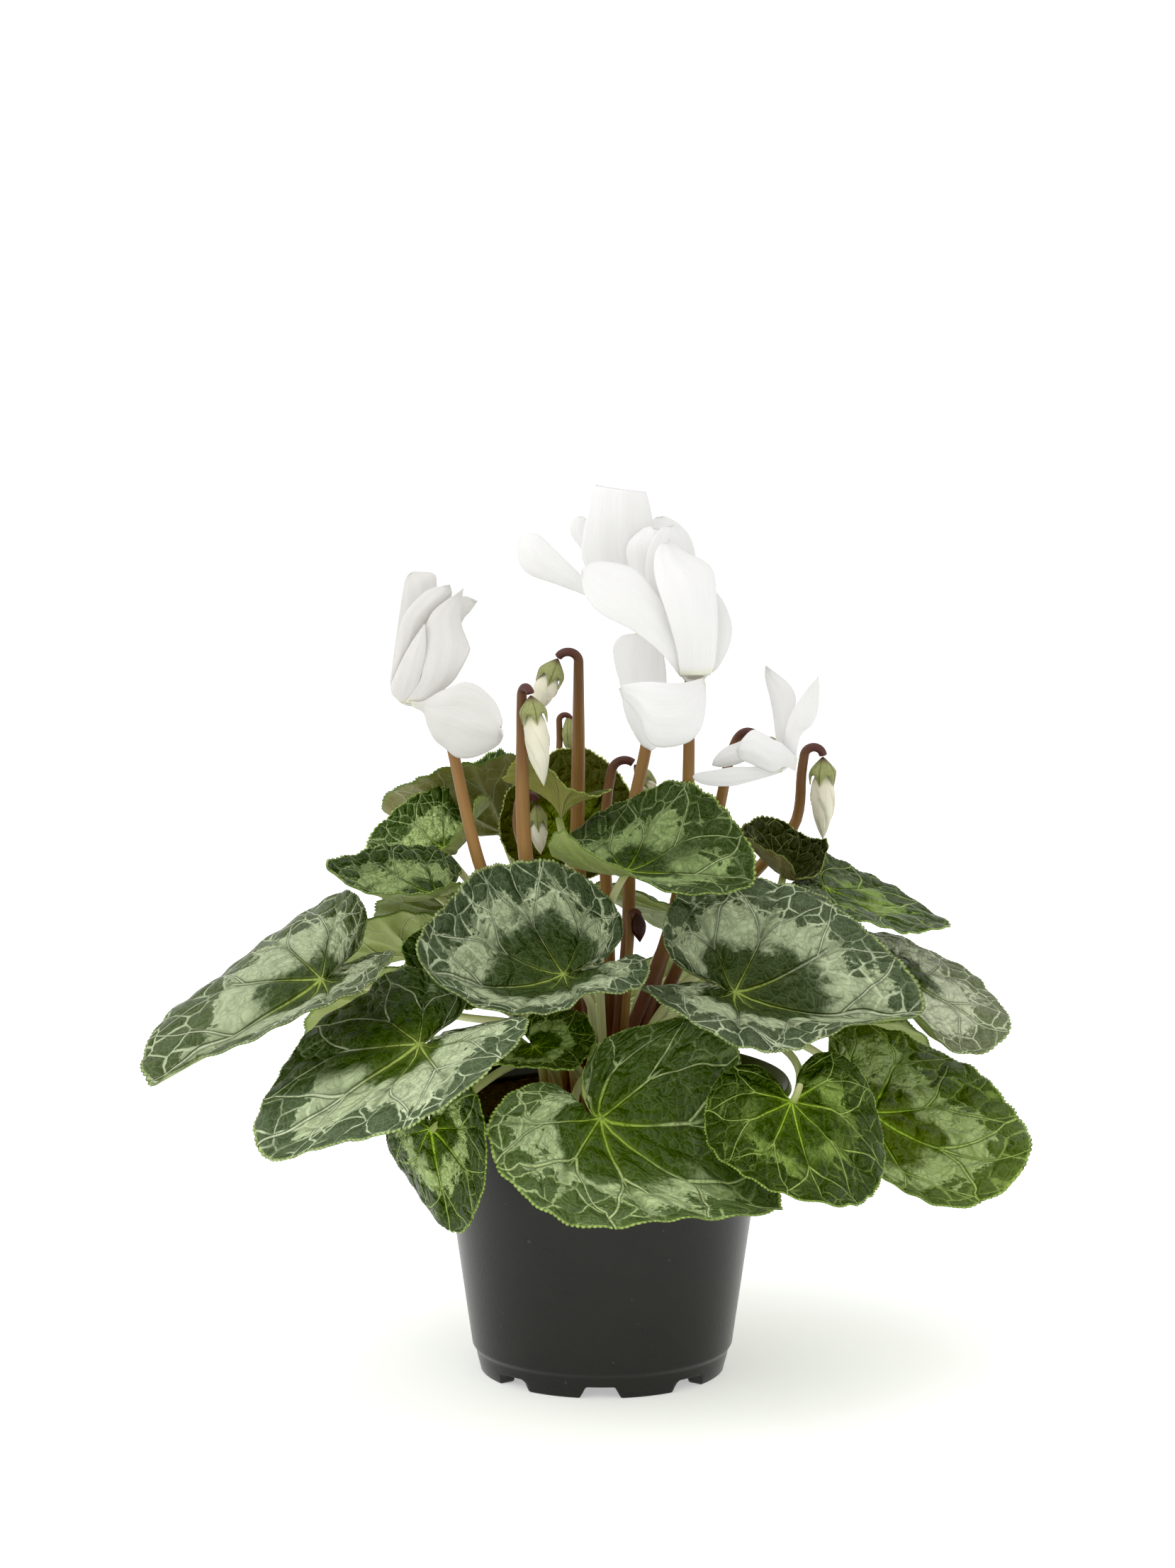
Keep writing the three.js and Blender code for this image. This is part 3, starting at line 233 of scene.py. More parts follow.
# Each open flower: its mouth, its stalk and its petals. A petal lies between its left and right edges, which
# run from root to tip as [across, up] from the mouth. depth is how far behind the mouth its root, its middle
# and its tip are, tilt is how much further back its right edge is, and cup is how far it bulges to the front.
PETAL_SHAPE = dict(tilt=0, cup=0.22)
FLOWERS = {
    "left": dict(mouth=[-61, -6, 217],
        stalk=dict(spot=[-8, 5], turn=130, towards=224,
            path=[[-15, 3, 118], [-26.5, -2, 140], [-37.8, -6, 161.8], [-46.4, 3, 196], [-51.9, 7, 222.2]]),
        petals=[
        dict(depth=[0.7, 5, 9], cup=0.15, tilt=2, edges=[
            [[-1, 0.5], [-5, 3], [-4.6, 9], [-3.5, 17.2], [-1.3, 32.3], [0, 36.6], [1.4, 37.6]],
            [[1, 1], [3, 10], [6, 20.8], [8.8, 30], [9.4, 34.4], [8.2, 37.4], [1.4, 37.6]]]),
        dict(depth=[-1.6, -3, -1], tilt=2, edges=[
            [[-1, 0], [-4.6, 6], [-3.4, 14], [-0.9, 25.5], [4.7, 32.4], [8.6, 34.6], [13.4, 35.4]],
            [[0.5, 1], [2, 12], [6.2, 23.5], [11.4, 28.4], [14.2, 32], [13.4, 35.4]]]),
        dict(depth=[-3, -5, -7], tilt=-1, edges=[
            [[-2, -1.5], [-4.9, 2.6], [-2.6, 9.5], [1.6, 17.5], [6, 23.9]],
            [[1.5, -2], [4.4, 6], [5.8, 11.9], [6.4, 18], [6, 23.9]]]),
        dict(depth=[0, 4, 6], tilt=2, edges=[
            [[3, 1], [9, 14], [14, 26], [17.5, 30.8], [22.1, 29.2]],
            [[5, 0], [13, 10], [17, 22], [20, 26], [22.1, 29.2]]]),
        dict(depth=[-4, -4, -2], tilt=3, edges=[
            [[-0.5, -1.5], [4.4, 6], [5.4, 13], [5.7, 20.8], [8.8, 27.9], [17.7, 34.3]],
            [[5, -2.4], [10, 1.5], [15, 5.7], [19.5, 13.7], [19.7, 16.4], [17, 24.1], [17.7, 34.3]]]),
        dict(depth=[-4.6, -7, -8], cup=0.12, tilt=7, edges=[
            [[1, -0.6], [5.1, -0.6], [10, 2.6], [15, 5.3], [18.1, 6.4], [21.7, 5.7], [24.8, 3.5],
             [27.9, 0], [29.6, -4], [29.9, -6.6], [28.6, -7.6], [30, -8.6], [30.2, -10.8]],
            [[2, -2.6], [5.3, -4.4], [6.6, -8.8], [8.8, -13.3], [12.4, -16.4], [15, -18.6], [18.1, -19.1],
             [21.7, -18.4], [25.7, -16.4], [29, -13.9], [30.2, -10.8]]]),
    ]),
    "middle": dict(mouth=[28.6, -8, 225],
        stalk=dict(spot=[3, -1], hook=5, turn=135, towards=272,
            path=[[20, 12, 135], [26.4, 18, 166], [27.2, 18, 188], [27.3, 14, 210], [27.4, 10, 228]]),
        petals=[
        dict(depth=[-2.2, -7, -8], cup=0.18, tilt=2, edges=[
            [[-4.5, -1.2], [-9.6, 5.7], [-14.2, 10.3], [-20.4, 14.8], [-28, 19], [-32, 22.4], [-34.6, 27],
             [-35.3, 33]],
            [[-1, 0], [-3.9, 8.6], [-7.9, 18.8], [-12.4, 26.5], [-18, 33], [-25, 35.4], [-31, 35.6],
             [-35.3, 33]]]),
        dict(depth=[-3.6, -8, -5], tilt=3, edges=[
            [[-4.5, -0.8], [-6, 9], [-9, 20], [-12.3, 30], [-12.8, 36.5], [-11.4, 40.6], [-8.4, 42.2]],
            [[4.8, -0.4], [6.3, 4], [7, 14.3], [6.6, 25.7], [5.6, 32.6], [2.4, 36], [-2.7, 38.4],
             [-8.4, 42.2]]]),
        dict(depth=[-1, 3, 6], tilt=2, edges=[
            [[-3, 1], [-9, 14], [-15, 28], [-14.5, 38], [-11, 44], [-7, 45.4]],
            [[3, 1], [4, 14], [3.5, 26], [0.8, 34], [-1.2, 39.2], [-4, 43.4], [-7, 45.4]]]),
        dict(depth=[1, 2, 4], tilt=2, edges=[
            [[1, 1], [3, 12], [4, 20], [6.2, 25]],
            [[5.5, -0.4], [7.8, 1.7], [11, 8.2], [11.6, 14.3], [9.4, 20.5], [6.2, 25]]]),
        dict(depth=[3, 8, 12], tilt=-3, edges=[
            [[-3, 2], [-14, 16], [-20, 30], [-21, 38], [-16, 43], [-13, 43.8]],
            [[1, 2], [0, 16], [-3, 30], [-7, 40], [-10, 43], [-13, 43.8]]]),
        dict(depth=[-3, -9, -7.5], cup=0.15, tilt=3, edges=[
            [[3, -1.2], [-4.5, -2], [-13, -1.1], [-18.7, -1.6], [-22.4, -2.6], [-23.6, -3.8]],
            [[3.2, -2.6], [3.5, -8.6], [2.4, -15.4], [-0.5, -20], [-4.4, -21.9], [-8.4, -22.6],
             [-12.4, -22.2], [-15.3, -19], [-16.6, -14.3], [-19.6, -9.7], [-22.6, -6.6], [-23.6, -3.8]]]),
    ]),
    "middle_back": dict(mouth=[14.7, 14, 234],
        stalk=dict(spot=[1, 6], hook=4, turn=140, towards=253,
            path=[[8, 16, 135], [9, 24, 170], [14, 27, 196], [17.6, 27, 224], [18.4, 26, 240]]),
        petals=[
        dict(depth=[-2.9, -6, -5], cup=0.18, tilt=2, edges=[
            [[-3, 0], [-9, 7], [-17, 16], [-21.2, 24.8], [-20.7, 32.6], [-19.2, 39.8], [-18.4, 44.8],
             [-16.6, 47.4]],
            [[1.5, 1], [4, 12], [3.7, 22], [2.3, 29], [0.9, 36.6], [-0.3, 42.6], [-1.1, 45]]]),
        dict(depth=[0, 0, 6], cup=0.25, edges=[
            [[-2, 1], [-8, 6], [-17, 14], [-25.1, 21.8], [-33.4, 29.4], [-36.4, 30.8], [-39.8, 30.2],
             [-41.2, 27.4]],
            [[-3, -1], [-10, 4.6], [-17.7, 10.6], [-28, 14.6], [-37.4, 17.6], [-40.4, 20.6], [-41.4, 24],
             [-41.2, 27.4]]]),
        dict(depth=[1, 6, 10], edges=[
            [[-3, 1], [-12, 14], [-22, 26], [-25, 31], [-23.6, 34.6], [-21, 35.4]],
            [[-1, 1], [-8, 14], [-16, 26], [-18.6, 33], [-21, 35.4]]]),
        dict(depth=[2, 4, 8], tilt=3, edges=[
            [[1, 1], [-1, 16], [-0.5, 28], [1, 34.8], [4, 35.6]],
            [[3, 1], [11, 12], [14.4, 20], [14.3, 25.1], [12.4, 30], [8.6, 33.5], [4, 35.6]]]),
        dict(depth=[-3, -6, -7], cup=0.18, tilt=-2, edges=[
            [[-3, 0.3], [-8.6, -0.4], [-11.3, -3.6], [-10.9, -9.7], [-9.4, -15.4], [-8, -24],
             [-5.7, -29.7], [-2.6, -34.6], [0.2, -36.4]],
            [[2, -1], [4.2, -5.1], [5.4, -13.7], [4.6, -22], [3.8, -30], [2.6, -35], [0.2, -36.4]]]),
    ]),
    "right": dict(mouth=[56.4, 4, 194.5],
        stalk=dict(spot=[7, 5], hook=6, turn=118, towards=316,
            path=[[20, 16, 132], [33, 22, 162], [36.8, 22, 175.3], [40.1, 20, 192.4], [42, 19, 198]]),
        petals=[
        dict(depth=[-2, 2, 5], tilt=-2, edges=[
            [[-1.5, 1], [-2.8, 13.3], [-4, 19.5], [-5.4, 25.5], [-5.2, 29.8]],
            [[1, 1.5], [3.2, 14.3], [4.2, 19.5], [2.9, 23.2], [-0.3, 26.4], [-5.2, 29.8]]]),
        dict(depth=[-2, -3, -5], tilt=3, edges=[
            [[-1, 1], [0.6, 10], [1.5, 14.1], [4.2, 19.5], [7.4, 24.1], [10.8, 28]],
            [[4, -1], [5.4, 8.1], [9.2, 12.2], [10.8, 16.3], [11.2, 23.2], [10.8, 28]]]),
        dict(depth=[1, 0, 2], cup=0.18, edges=[
            [[-1, 1], [-9.8, 6.8], [-15.4, 5.6], [-18.6, 4], [-21.3, 0.8], [-22, -1.5]],
            [[-2, -1], [-8.8, 0.8], [-14.8, -1.1], [-18.8, -1.9], [-22, -1.5]]]),
        dict(depth=[-2, -5, -4], cup=0.18, edges=[
            [[-1, -1], [-5.8, 0.1], [-8.8, -0.7], [-15, -0.7], [-22.3, -1.8], [-26.8, -2.7], [-28.2, -3.9]],
            [[0, -3], [-4.2, -4.1], [-10.4, -5.6], [-15.9, -6.8], [-23.2, -6.6], [-27.2, -5.3],
             [-28.2, -3.9]]]),
        dict(depth=[-4.2, -8, -8], cup=0.28, tilt=2, edges=[
            [[4.6, 2], [-0.3, 7.1], [-3.1, 8.6], [-6.3, 10.7], [-9.5, 11.9], [-12.4, 9.5], [-14.7, 5.4]],
            [[4, -2.4], [0.6, -0.6], [-3.4, -2.1], [-6.7, -0.9], [-10.2, 0.7], [-13.4, 2.4], [-14.7, 5.4]]]),
    ]),
}

# Each closed bud: its stalk, the place of its tip and half its greatest width
BUDS = {
    "left": dict(spot=[-6, -2], path=[[-16, -3, 128], [-24, -2, 165], [-25.2, 2, 205], [-25.2, 1.6, 216.4]],
        hook=2.5, turn=155, towards=304, tip=[-18.3, -4, 188], half=3.9, swell=0.65),
    "middle": dict(spot=[-1, 9], path=[[-6, 28, 128], [-7.8, 39, 162], [-7.6, 34, 194], [-7.5, 24, 223]],
        towards=180, tip=[-21.4, 22, 206.6], half=3.9, swell=0.6),
    "right": dict(spot=[11, 5], path=[[28, 24, 132], [52, 46, 154], [62.2, 50, 166.5], [63.9, 47, 183],
        [64.7, 46, 189]], hook=3, turn=165, towards=0, tip=[70.8, 46, 161.2], half=4),
    "back": dict(spot=[3, 12], path=[[2, 28, 130], [1, 35, 158], [1.5, 36, 176], [3, 36, 185.6]], hook=4.2,
        turn=120, towards=0, tip=[16.9, 36, 178.8], half=2.6),
    "low": dict(spot=[-5, 9], path=[[-10, 14, 125], [-20, 20, 150], [-26.5, 26, 168], [-26.6, 26.6, 176.4]],
        hook=3, turn=155, towards=0, tip=[-19.6, 26, 160.4], half=2.7),
}
# Each young bud in the same way, except that it covers the last points of its stalk
YOUNG_BUDS = {
    "dark": dict(spot=[-7, 13], path=[[-12, 36, 122], [-16, 62, 154], [-13.9, 74, 185], [-13.9, 74, 195.2]],
        hook=1.9, turn=165, towards=0, tip=[-10.1, 74, 183.4], half=2.7, radius=1.5, top_radius=0.85,
        swell=0),
    "small": dict(spot=[5, 2], path=[[7.6, 1, 120], [8.4, 0, 138], [8.4, 0, 146]], hook=1.6, turn=165,
        towards=0, tip=[11.8, 0, 137.4], half=2.5, radius=1.2, top_radius=0.9, swell=0.2),
}


# Making pieces

def placed(name, data):
    """A new object in the scene."""
    made = bpy.data.objects.new(name, data)
    bpy.context.scene.collection.objects.link(made)
    return made


class Piece:
    """One object in the making: flat grids, bent into shape, each with its own finish."""

    def __init__(self):
        self.mesh = bmesh.new()
        self.along = self.mesh.loops.layers.uv.new("along")
        self.finishes = []

    def grid(self, points, finish, flip=False, stops=None):
        """Quads through points, in rows by columns by three; stops are the columns' and the rows' shares."""
        rows, columns = points.shape[0] - 1, points.shape[1] - 1
        made = bmesh.ops.create_grid(self.mesh, x_segments=columns, y_segments=rows, size=0.5, calc_uvs=True)
        for vert, point in zip(made["verts"], (points.reshape(-1, 3) + STAND) * MM):
            vert.co = point
        faces = list({face for vert in made["verts"] for face in vert.link_faces})
        if finish not in self.finishes:
            self.finishes.append(finish)
        for face in faces:
            face.material_index = self.finishes.index(finish)
            face.smooth = True
            for loop in face.loops if stops else ():
                across, along = loop[self.along].uv
                loop[self.along].uv = stops[0][round(across * columns)], stops[1][round(along * rows)]
        if flip:
            bmesh.ops.reverse_faces(self.mesh, faces=faces)

    def shell(self, middle, thickness, upper, lower, stops=None):
        """A thin sheet with a finish on each face, welded where its thickness is nothing."""
        normal = np.cross(np.gradient(middle, axis=1), np.gradient(middle, axis=0))
        size = np.linalg.norm(normal, axis=2, keepdims=True)
        normal = normal / np.maximum(size, 1e-9)
        normal[0] = normal[1].mean(axis=0) if size[0].max() < 1e-6 else normal[0]
        half = normal * thickness[..., None] / 2
        self.grid(middle + half, upper, stops=stops)
        self.grid(middle - half, lower, flip=True, stops=stops)

    def done(self, name, slot, node):
        """The finished object, which stands for its node and goes where the pot goes."""
        bmesh.ops.remove_doubles(self.mesh, verts=self.mesh.verts, dist=WELD)
        mesh = bpy.data.meshes.new(name)
        self.mesh.to_mesh(mesh)
        self.mesh.free()
        for finish in self.finishes:
            mesh.materials.append(finish)
        piece = placed(name, mesh)
        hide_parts(node)
        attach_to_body(piece, "root")


def fine_grid(columns, rows):
    """Shares across and along for every corner of a grid."""
    return np.meshgrid(np.linspace(0, 1, columns + 1), np.linspace(0, 1, rows + 1))


def rimmed(count):
    """Stops from 0 to 1 that are close together at both ends, where a sheet thins to its rim."""
    return np.array([0, 0.012, *np.linspace(0.05, 0.95, count - 3), 0.988, 1])


def ease(value, low, high):
    """0 below low, 1 above high, and smooth between them."""
    share = np.clip((value - low) / (high - low), 0, 1)
    return share * share * (3 - 2 * share)


def unit(vector):
    return vector / np.linalg.norm(vector)


def stood(local, place, axis):
    """A round body's points stood on a place along an axis, with no gap at the seam."""
    turn = Vector((0, 0, 1)).rotation_difference(Vector(axis)).to_matrix()
    points = local @ np.array(turn).T + np.array(place, float)
    points[:, -1] = points[:, 0]
    return points


def lathe(profile, columns, place=(0, 0, 0), axis=(0, 0, 1)):
    """Points of a round body from [radius, distance] points, stood on a place along an axis."""
    radius, distance = np.array(profile, float).T[..., None]
    around = np.radians(np.linspace(0, 360, columns + 1))
    rings = [radius * np.cos(around), radius * np.sin(around), distance + 0 * around]
    return stood(np.stack(rings, axis=-1), place, axis)


def rounded(profile, radius, steps=4):
    """A profile with its inner corners rounded by a curve that starts radius away from each."""
    points = [np.array(point, float) for point in profile]
    made = [points[0]]
    for before, corner, after in zip(points, points[1:], points[2:]):
        start, end = [corner + unit(side - corner) * min(radius, np.linalg.norm(side - corner) * 0.45)
                      for side in (before, after)]
        for share in np.linspace(0, 1, steps + 1):
            made.append((1 - share) ** 2 * start + 2 * share * (1 - share) * corner + share ** 2 * end)
    made.append(points[-1])
    return made


def line_at(points, stops):
    """Points at some shares of a line's length."""
    points = np.array(points, float)
    lengths = np.concatenate([[0], np.cumsum(np.linalg.norm(np.diff(points, axis=0), axis=1))])
    return np.stack([np.interp(stops * lengths[-1], lengths, values) for values in points.T], axis=1)


def smooth_line(points):
    """A smooth line through points, as dense points and the direction at its end."""
    points = np.array(points, float)
    whole = np.vstack([2 * points[0] - points[1], points, 2 * points[-1] - points[-2]])
    share = np.linspace(0, 1, 25)[:, None]
    line = []
    for a, b, c, d in zip(whole, whole[1:], whole[2:], whole[3:]):
        first, last = (c - a) / 2, (d - b) / 2
        bend = 2 * (b - c) + first + last
        line.extend(b + first * share + (3 * (c - b) - 2 * first - last) * share ** 2 + bend * share ** 3)
    return np.array(line), unit(last)


def stem(points, radii, columns):
    """Points of a round stem along a line, closed at both ends."""
    points = np.array(points, float)
    side = np.array([1.0, 0, 0])
    around = np.radians(np.linspace(0, 360, columns + 1))[:, None]
    rings = []
    for i, point in enumerate(points):
        along = unit(points[min(i + 1, len(points) - 1)] - points[max(i - 1, 0)])
        side = unit(side - along * side.dot(along))
        rings.append(point + (np.cos(around) * side + np.sin(around) * np.cross(along, side)) * radii[i])
    rings = np.array(rings)
    rings[:, -1] = rings[:, 0]
    ends = [np.repeat(points[[i]], columns + 1, axis=0) for i in (0, -1)]
    return np.array([ends[0], *rings, ends[1]])


# Places on the tuber's crown that stems grow from, laid out as seeds in a sunflower
crown = []
for number in range(CROWN_PLACES):
    distance = CROWN_SPACING * math.sqrt(number + CROWN_FIRST)
    angle = math.radians(GOLDEN_TURN * number)
    crown.append((distance * math.cos(angle), distance * math.sin(angle)))


def claim(x, y):
    """The free place nearest to a wanted spot, which that stem then takes: its foot and its collar."""
    place = min(crown, key=lambda one: math.hypot(one[0] - x, one[1] - y))
    crown.remove(place)
    top = TUBER_CENTRE + TUBER_DEPTH * math.sqrt(1 - (math.hypot(*place) / TUBER_RADIUS) ** 2)
    return np.array([*place, top - HOLE_DEPTH]), np.array([*place, top + COLLAR])


# Finishes

def colour(hexadecimal):
    """A colour as it looks on screen, as the linear values that a shader takes."""
    parts = [int(hexadecimal[i:i + 2], 16) / 255 for i in (1, 3, 5)]
    return (*[part / 12.92 if part < 0.04 else ((part + 0.055) / 1.055) ** 2.4 for part in parts], 1)


class Value:
    """A value of a finish's pattern at each point, which is reckoned with like a plain number."""

    def __init__(self, finish, socket):
        self.finish = finish
        self.socket = socket

    def __add__(self, other):
        return self.finish.math("ADD", self, other)

    def __sub__(self, other):
        return self.finish.math("SUBTRACT", self, other)

    def __rsub__(self, other):
        return self.finish.math("SUBTRACT", other, self)

    def __mul__(self, other):
        return self.finish.math("MULTIPLY", self, other)

    def __abs__(self):
        return self.finish.math("ABSOLUTE", self)

    def ease(self, low, high):
        """0 at low and 1 at high, smooth between them, also where low is above high."""
        inputs = {"Value": self, "From Min": low, "From Max": high}
        return self.finish.node("ShaderNodeMapRange", inputs, interpolation_type="SMOOTHSTEP")


class Finish:
    """A material, and short ways to build its pattern. Its base colour is laid on in coats."""

    def __init__(self, name, roughness, specular=0.4):
        self.material = bpy.data.materials.new(name)
        self.material.use_nodes = True
        self.tree = self.material.node_tree
        self.set({"Roughness": roughness, "Specular IOR Level": specular})

    def join(self, value, socket):
        if isinstance(value, Value):
            self.tree.links.new(value.socket, socket)
        else:
            socket.default_value = colour(value) if isinstance(value, str) else value

    def set(self, inputs):
        """Gives the surface some of its inputs."""
        for key, value in inputs.items():
            self.join(value, self.tree.nodes["Principled BSDF"].inputs[key])

    def node(self, kind, inputs=(), output=0, **settings):
        made = self.tree.nodes.new(kind)
        for key, value in settings.items():
            setattr(made, key, value)
        for key, value in dict(inputs).items():
            self.join(value, made.inputs[key])
        return Value(self, made.outputs[output])

    def math(self, operation, a, b=0.0):
        return self.node("ShaderNodeMath", {0: a, 1: b}, operation=operation)

    def vector(self, x, y, z=0.0):
        return self.node("ShaderNodeCombineXYZ", {0: x, 1: y, 2: z})

    def noise(self, at, scale, detail=3.0, rough=0.5):
        inputs = {"Vector": at, "Scale": scale, "Detail": detail, "Roughness": rough}
        return self.node("ShaderNodeTexNoise", inputs)

    def cells(self, at, scale):
        """How far each place is from the edge of its cell."""
        return self.node("ShaderNodeTexVoronoi", {"Vector": at, "Scale": scale}, feature="DISTANCE_TO_EDGE")

    def along(self):
        """The piece's own two shares, across and along."""
        shares = self.node("ShaderNodeUVMap", uv_map="along")
        return [self.node("ShaderNodeSeparateXYZ", {0: shares}, output) for output in (0, 1)]

    def streaks(self, often_across, often_along, detail=4.0):
        """Noise that is drawn out along the piece."""
        across, along = self.along()
        return self.noise(self.vector(across * often_across, along * often_along), 2.0, detail)

    def place(self):
        """Where a point of the object is, in metres."""
        return self.node("ShaderNodeTexCoord", output="Object")

    def mix(self, share, a, b):
        return self.node("ShaderNodeMix", {0: share, 6: a, 7: b}, 2, data_type="RGBA")

    def ground(self, share, a, b):
        """The first coat: a mix of two colours."""
        self.base = self.mix(share, a, b)

    def coat(self, share, paint):
        """One more coat, which covers what is there by its share."""
        self.base = self.mix(share, self.base, paint)

    def done(self, height=None, depth=0.0003, strength=1.0):
        """The material, with its base colour and its relief in place."""
        if height:
            inputs = {"Height": height, "Distance": depth, "Strength": strength}
            self.set({"Normal": self.node("ShaderNodeBump", inputs)})
        self.set({"Base Color": self.base})
        return self.material


# How each kind of leaf is coloured: outer is the zone inside the edge, star the zone round the joint, and the
# silver ring lies between the two, from ring[0] to ring[1] as shares of the way to the edge. vein and heart
# are the veins' colours near the edge and near the joint, edge and bead the rim's, under the lower face's.
# rough is how rough the upper face is and shine how much it mirrors. The greater bare is, the more of the
# ring stays green, and side keeps the ring to one side of the blade; away from that side the outer zone
# turns to the star's darker green, painted shade, and shows fewer fine veins. net is how strongly the fine
# veins show near the edge, rays how strongly the main veins do round the joint, breadth how broad they are,
# lit how light the face is.
SILVERED = dict(outer="#48563a", star="#374522", silver="#a5b08c", ring=(0.48, 0.68), bare=0.0,
    vein="#b8c2a0", heart="#87984a", edge="#5c6e3a", bead="#92a06a", under="#98a566", rough=0.36,
    shine=0.1, net=0.75, rays=0.45, breadth=1.2, lit=1.3)
DARK = dict(outer="#2f4114", star="#263608", silver="#8c9e64", ring=(0.46, 0.64), bare=0.35,
    vein="#a0b078", heart="#86a03c", edge="#566f2a", bead="#8b9d54", under="#93a352", rough=0.3,
    shine=0.13, net=0.35, rays=0.6, breadth=1.4, lit=1.4)
FRESH = dict(outer="#2f400c", star="#324606", silver="#7a9244", ring=(0.40, 0.62), bare=0.35,
    vein="#9ab25c", heart="#8dac36", edge="#557228", bead="#8ba04e", under="#93a34a", rough=0.27,
    shine=0.13, net=0.25, rays=0.8, breadth=1.6, lit=1.4)
PALE = dict(outer="#5f6a1c", star="#646e20", silver="#7d8838", ring=(0.4, 0.7), bare=0.7, vein="#949c48",
    heart="#a0a850", edge="#93a044", bead="#bcc47c", under="#85863c", rough=0.42, shine=0.1, net=0.1,
    rays=0.5, breadth=1.2, lit=1.25)
SHADED = dict(outer="#26290f", star="#24280c", silver="#4c5230", ring=(0.4, 0.7), bare=0.5,
    vein="#74794c", heart="#7c8048", edge="#667030", bead="#8a9250", under="#5c4820", rough=0.38,
    shine=0.1, net=0.6, rays=0.6, breadth=1.2, lit=1.7)
LOOKS = {
    "leaf_front_left_of_middle": dict(SILVERED, ring=(0.52, 0.72)),
    "leaf_front_right": dict(SILVERED, outer="#4d593e", star="#384424", ring=(0.44, 0.72), bare=0.15),
    "leaf_front_low": dict(DARK, outer="#4a5c2e", star="#34480c", silver="#a1b080", ring=(0.54, 0.74),
        bare=0.1, net=0.7, rays=0.85, breadth=1.6, rough=0.18, shine=0.24, lit=1.55, side=-95),
    "leaf_left": dict(SILVERED, outer="#4d5a34", ring=(0.32, 0.68)),
    "leaf_front_left": dict(SILVERED, star="#30420a", ring=(0.26, 0.70), rays=0.7, breadth=1.5, lit=1.6,
        side=85),
    "leaf_right": dict(SILVERED, outer="#6c7454", silver="#b7bea0", ring=(0.36, 0.7), lit=1.45),
    "leaf_right_low": dict(FRESH, outer="#4e6020", star="#48580a", silver="#9bac70", bare=0.15,
        ring=(0.40, 0.74), net=0.45, lit=1.55),
    "leaf_top_right": dict(DARK, silver="#82965e", bare=0.22, ring=(0.38, 0.68)),
    "leaf_left_high": dict(DARK, ring=(0.22, 0.62), bare=0.1, lit=2.1),
    "leaf_left_upper": dict(DARK, ring=(0.32, 0.66), bare=0.15),
    "leaf_front_low_right": FRESH,
    "leaf_front_small": dict(FRESH, silver="#9aad70", bare=0.1, lit=1.7),
    "leaf_right_high": FRESH,
    "leaf_front_low_left": dict(FRESH, silver="#9aad70", bare=0.2, lit=1.5),
    "leaf_young_funnel": dict(PALE, under="#9c983c"),
    "leaf_back_left_high": dict(DARK, under="#706820"),
    "leaf_back_high": dict(PALE, outer="#3a3a0a", star="#54620a", silver="#4e5a0c", vein="#555e16",
        heart="#5c6a14", edge="#6f7c26", under="#544e18", rays=0.3, lit=1.4),
    "leaf_right_cupped": SHADED,
}
SILVERED_LEAVES = ["leaf_front_left_of_middle", "leaf_front_right", "leaf_right", "leaf_left",
    "leaf_front_left"]

# The veins' widths and wobble are in blade lengths, their cells for each blade length, their sway and spread
# in vein spacings, and the midrib's turn in degrees. The silver ring's edges drift, fray and step by shares
# of the way to the blade's edge. The relief's depth is in metres.
VEIN_SWAY = 0.45
VEIN_WIDTH = 0.0135
VEIN_TAPER = 0.006
VEIN_START = 0.22
MIDRIB_TURN = 22
FORK_SPREAD = 1.1
FORK_WIDTH = 0.009
NET_CELLS = 5.4
NET_WOBBLE = 0.07
FINE_CELLS = 21
RING_DRIFT = 0.62
RING_FRAY = 0.48
RING_STEP = 0.16
DEEP_GREEN = "#1c2a14"
GRAIN_GREEN = "#2c3c26"
PROUD_VEIN = "#bcc694"
LEAF_RELIEF = 0.0022


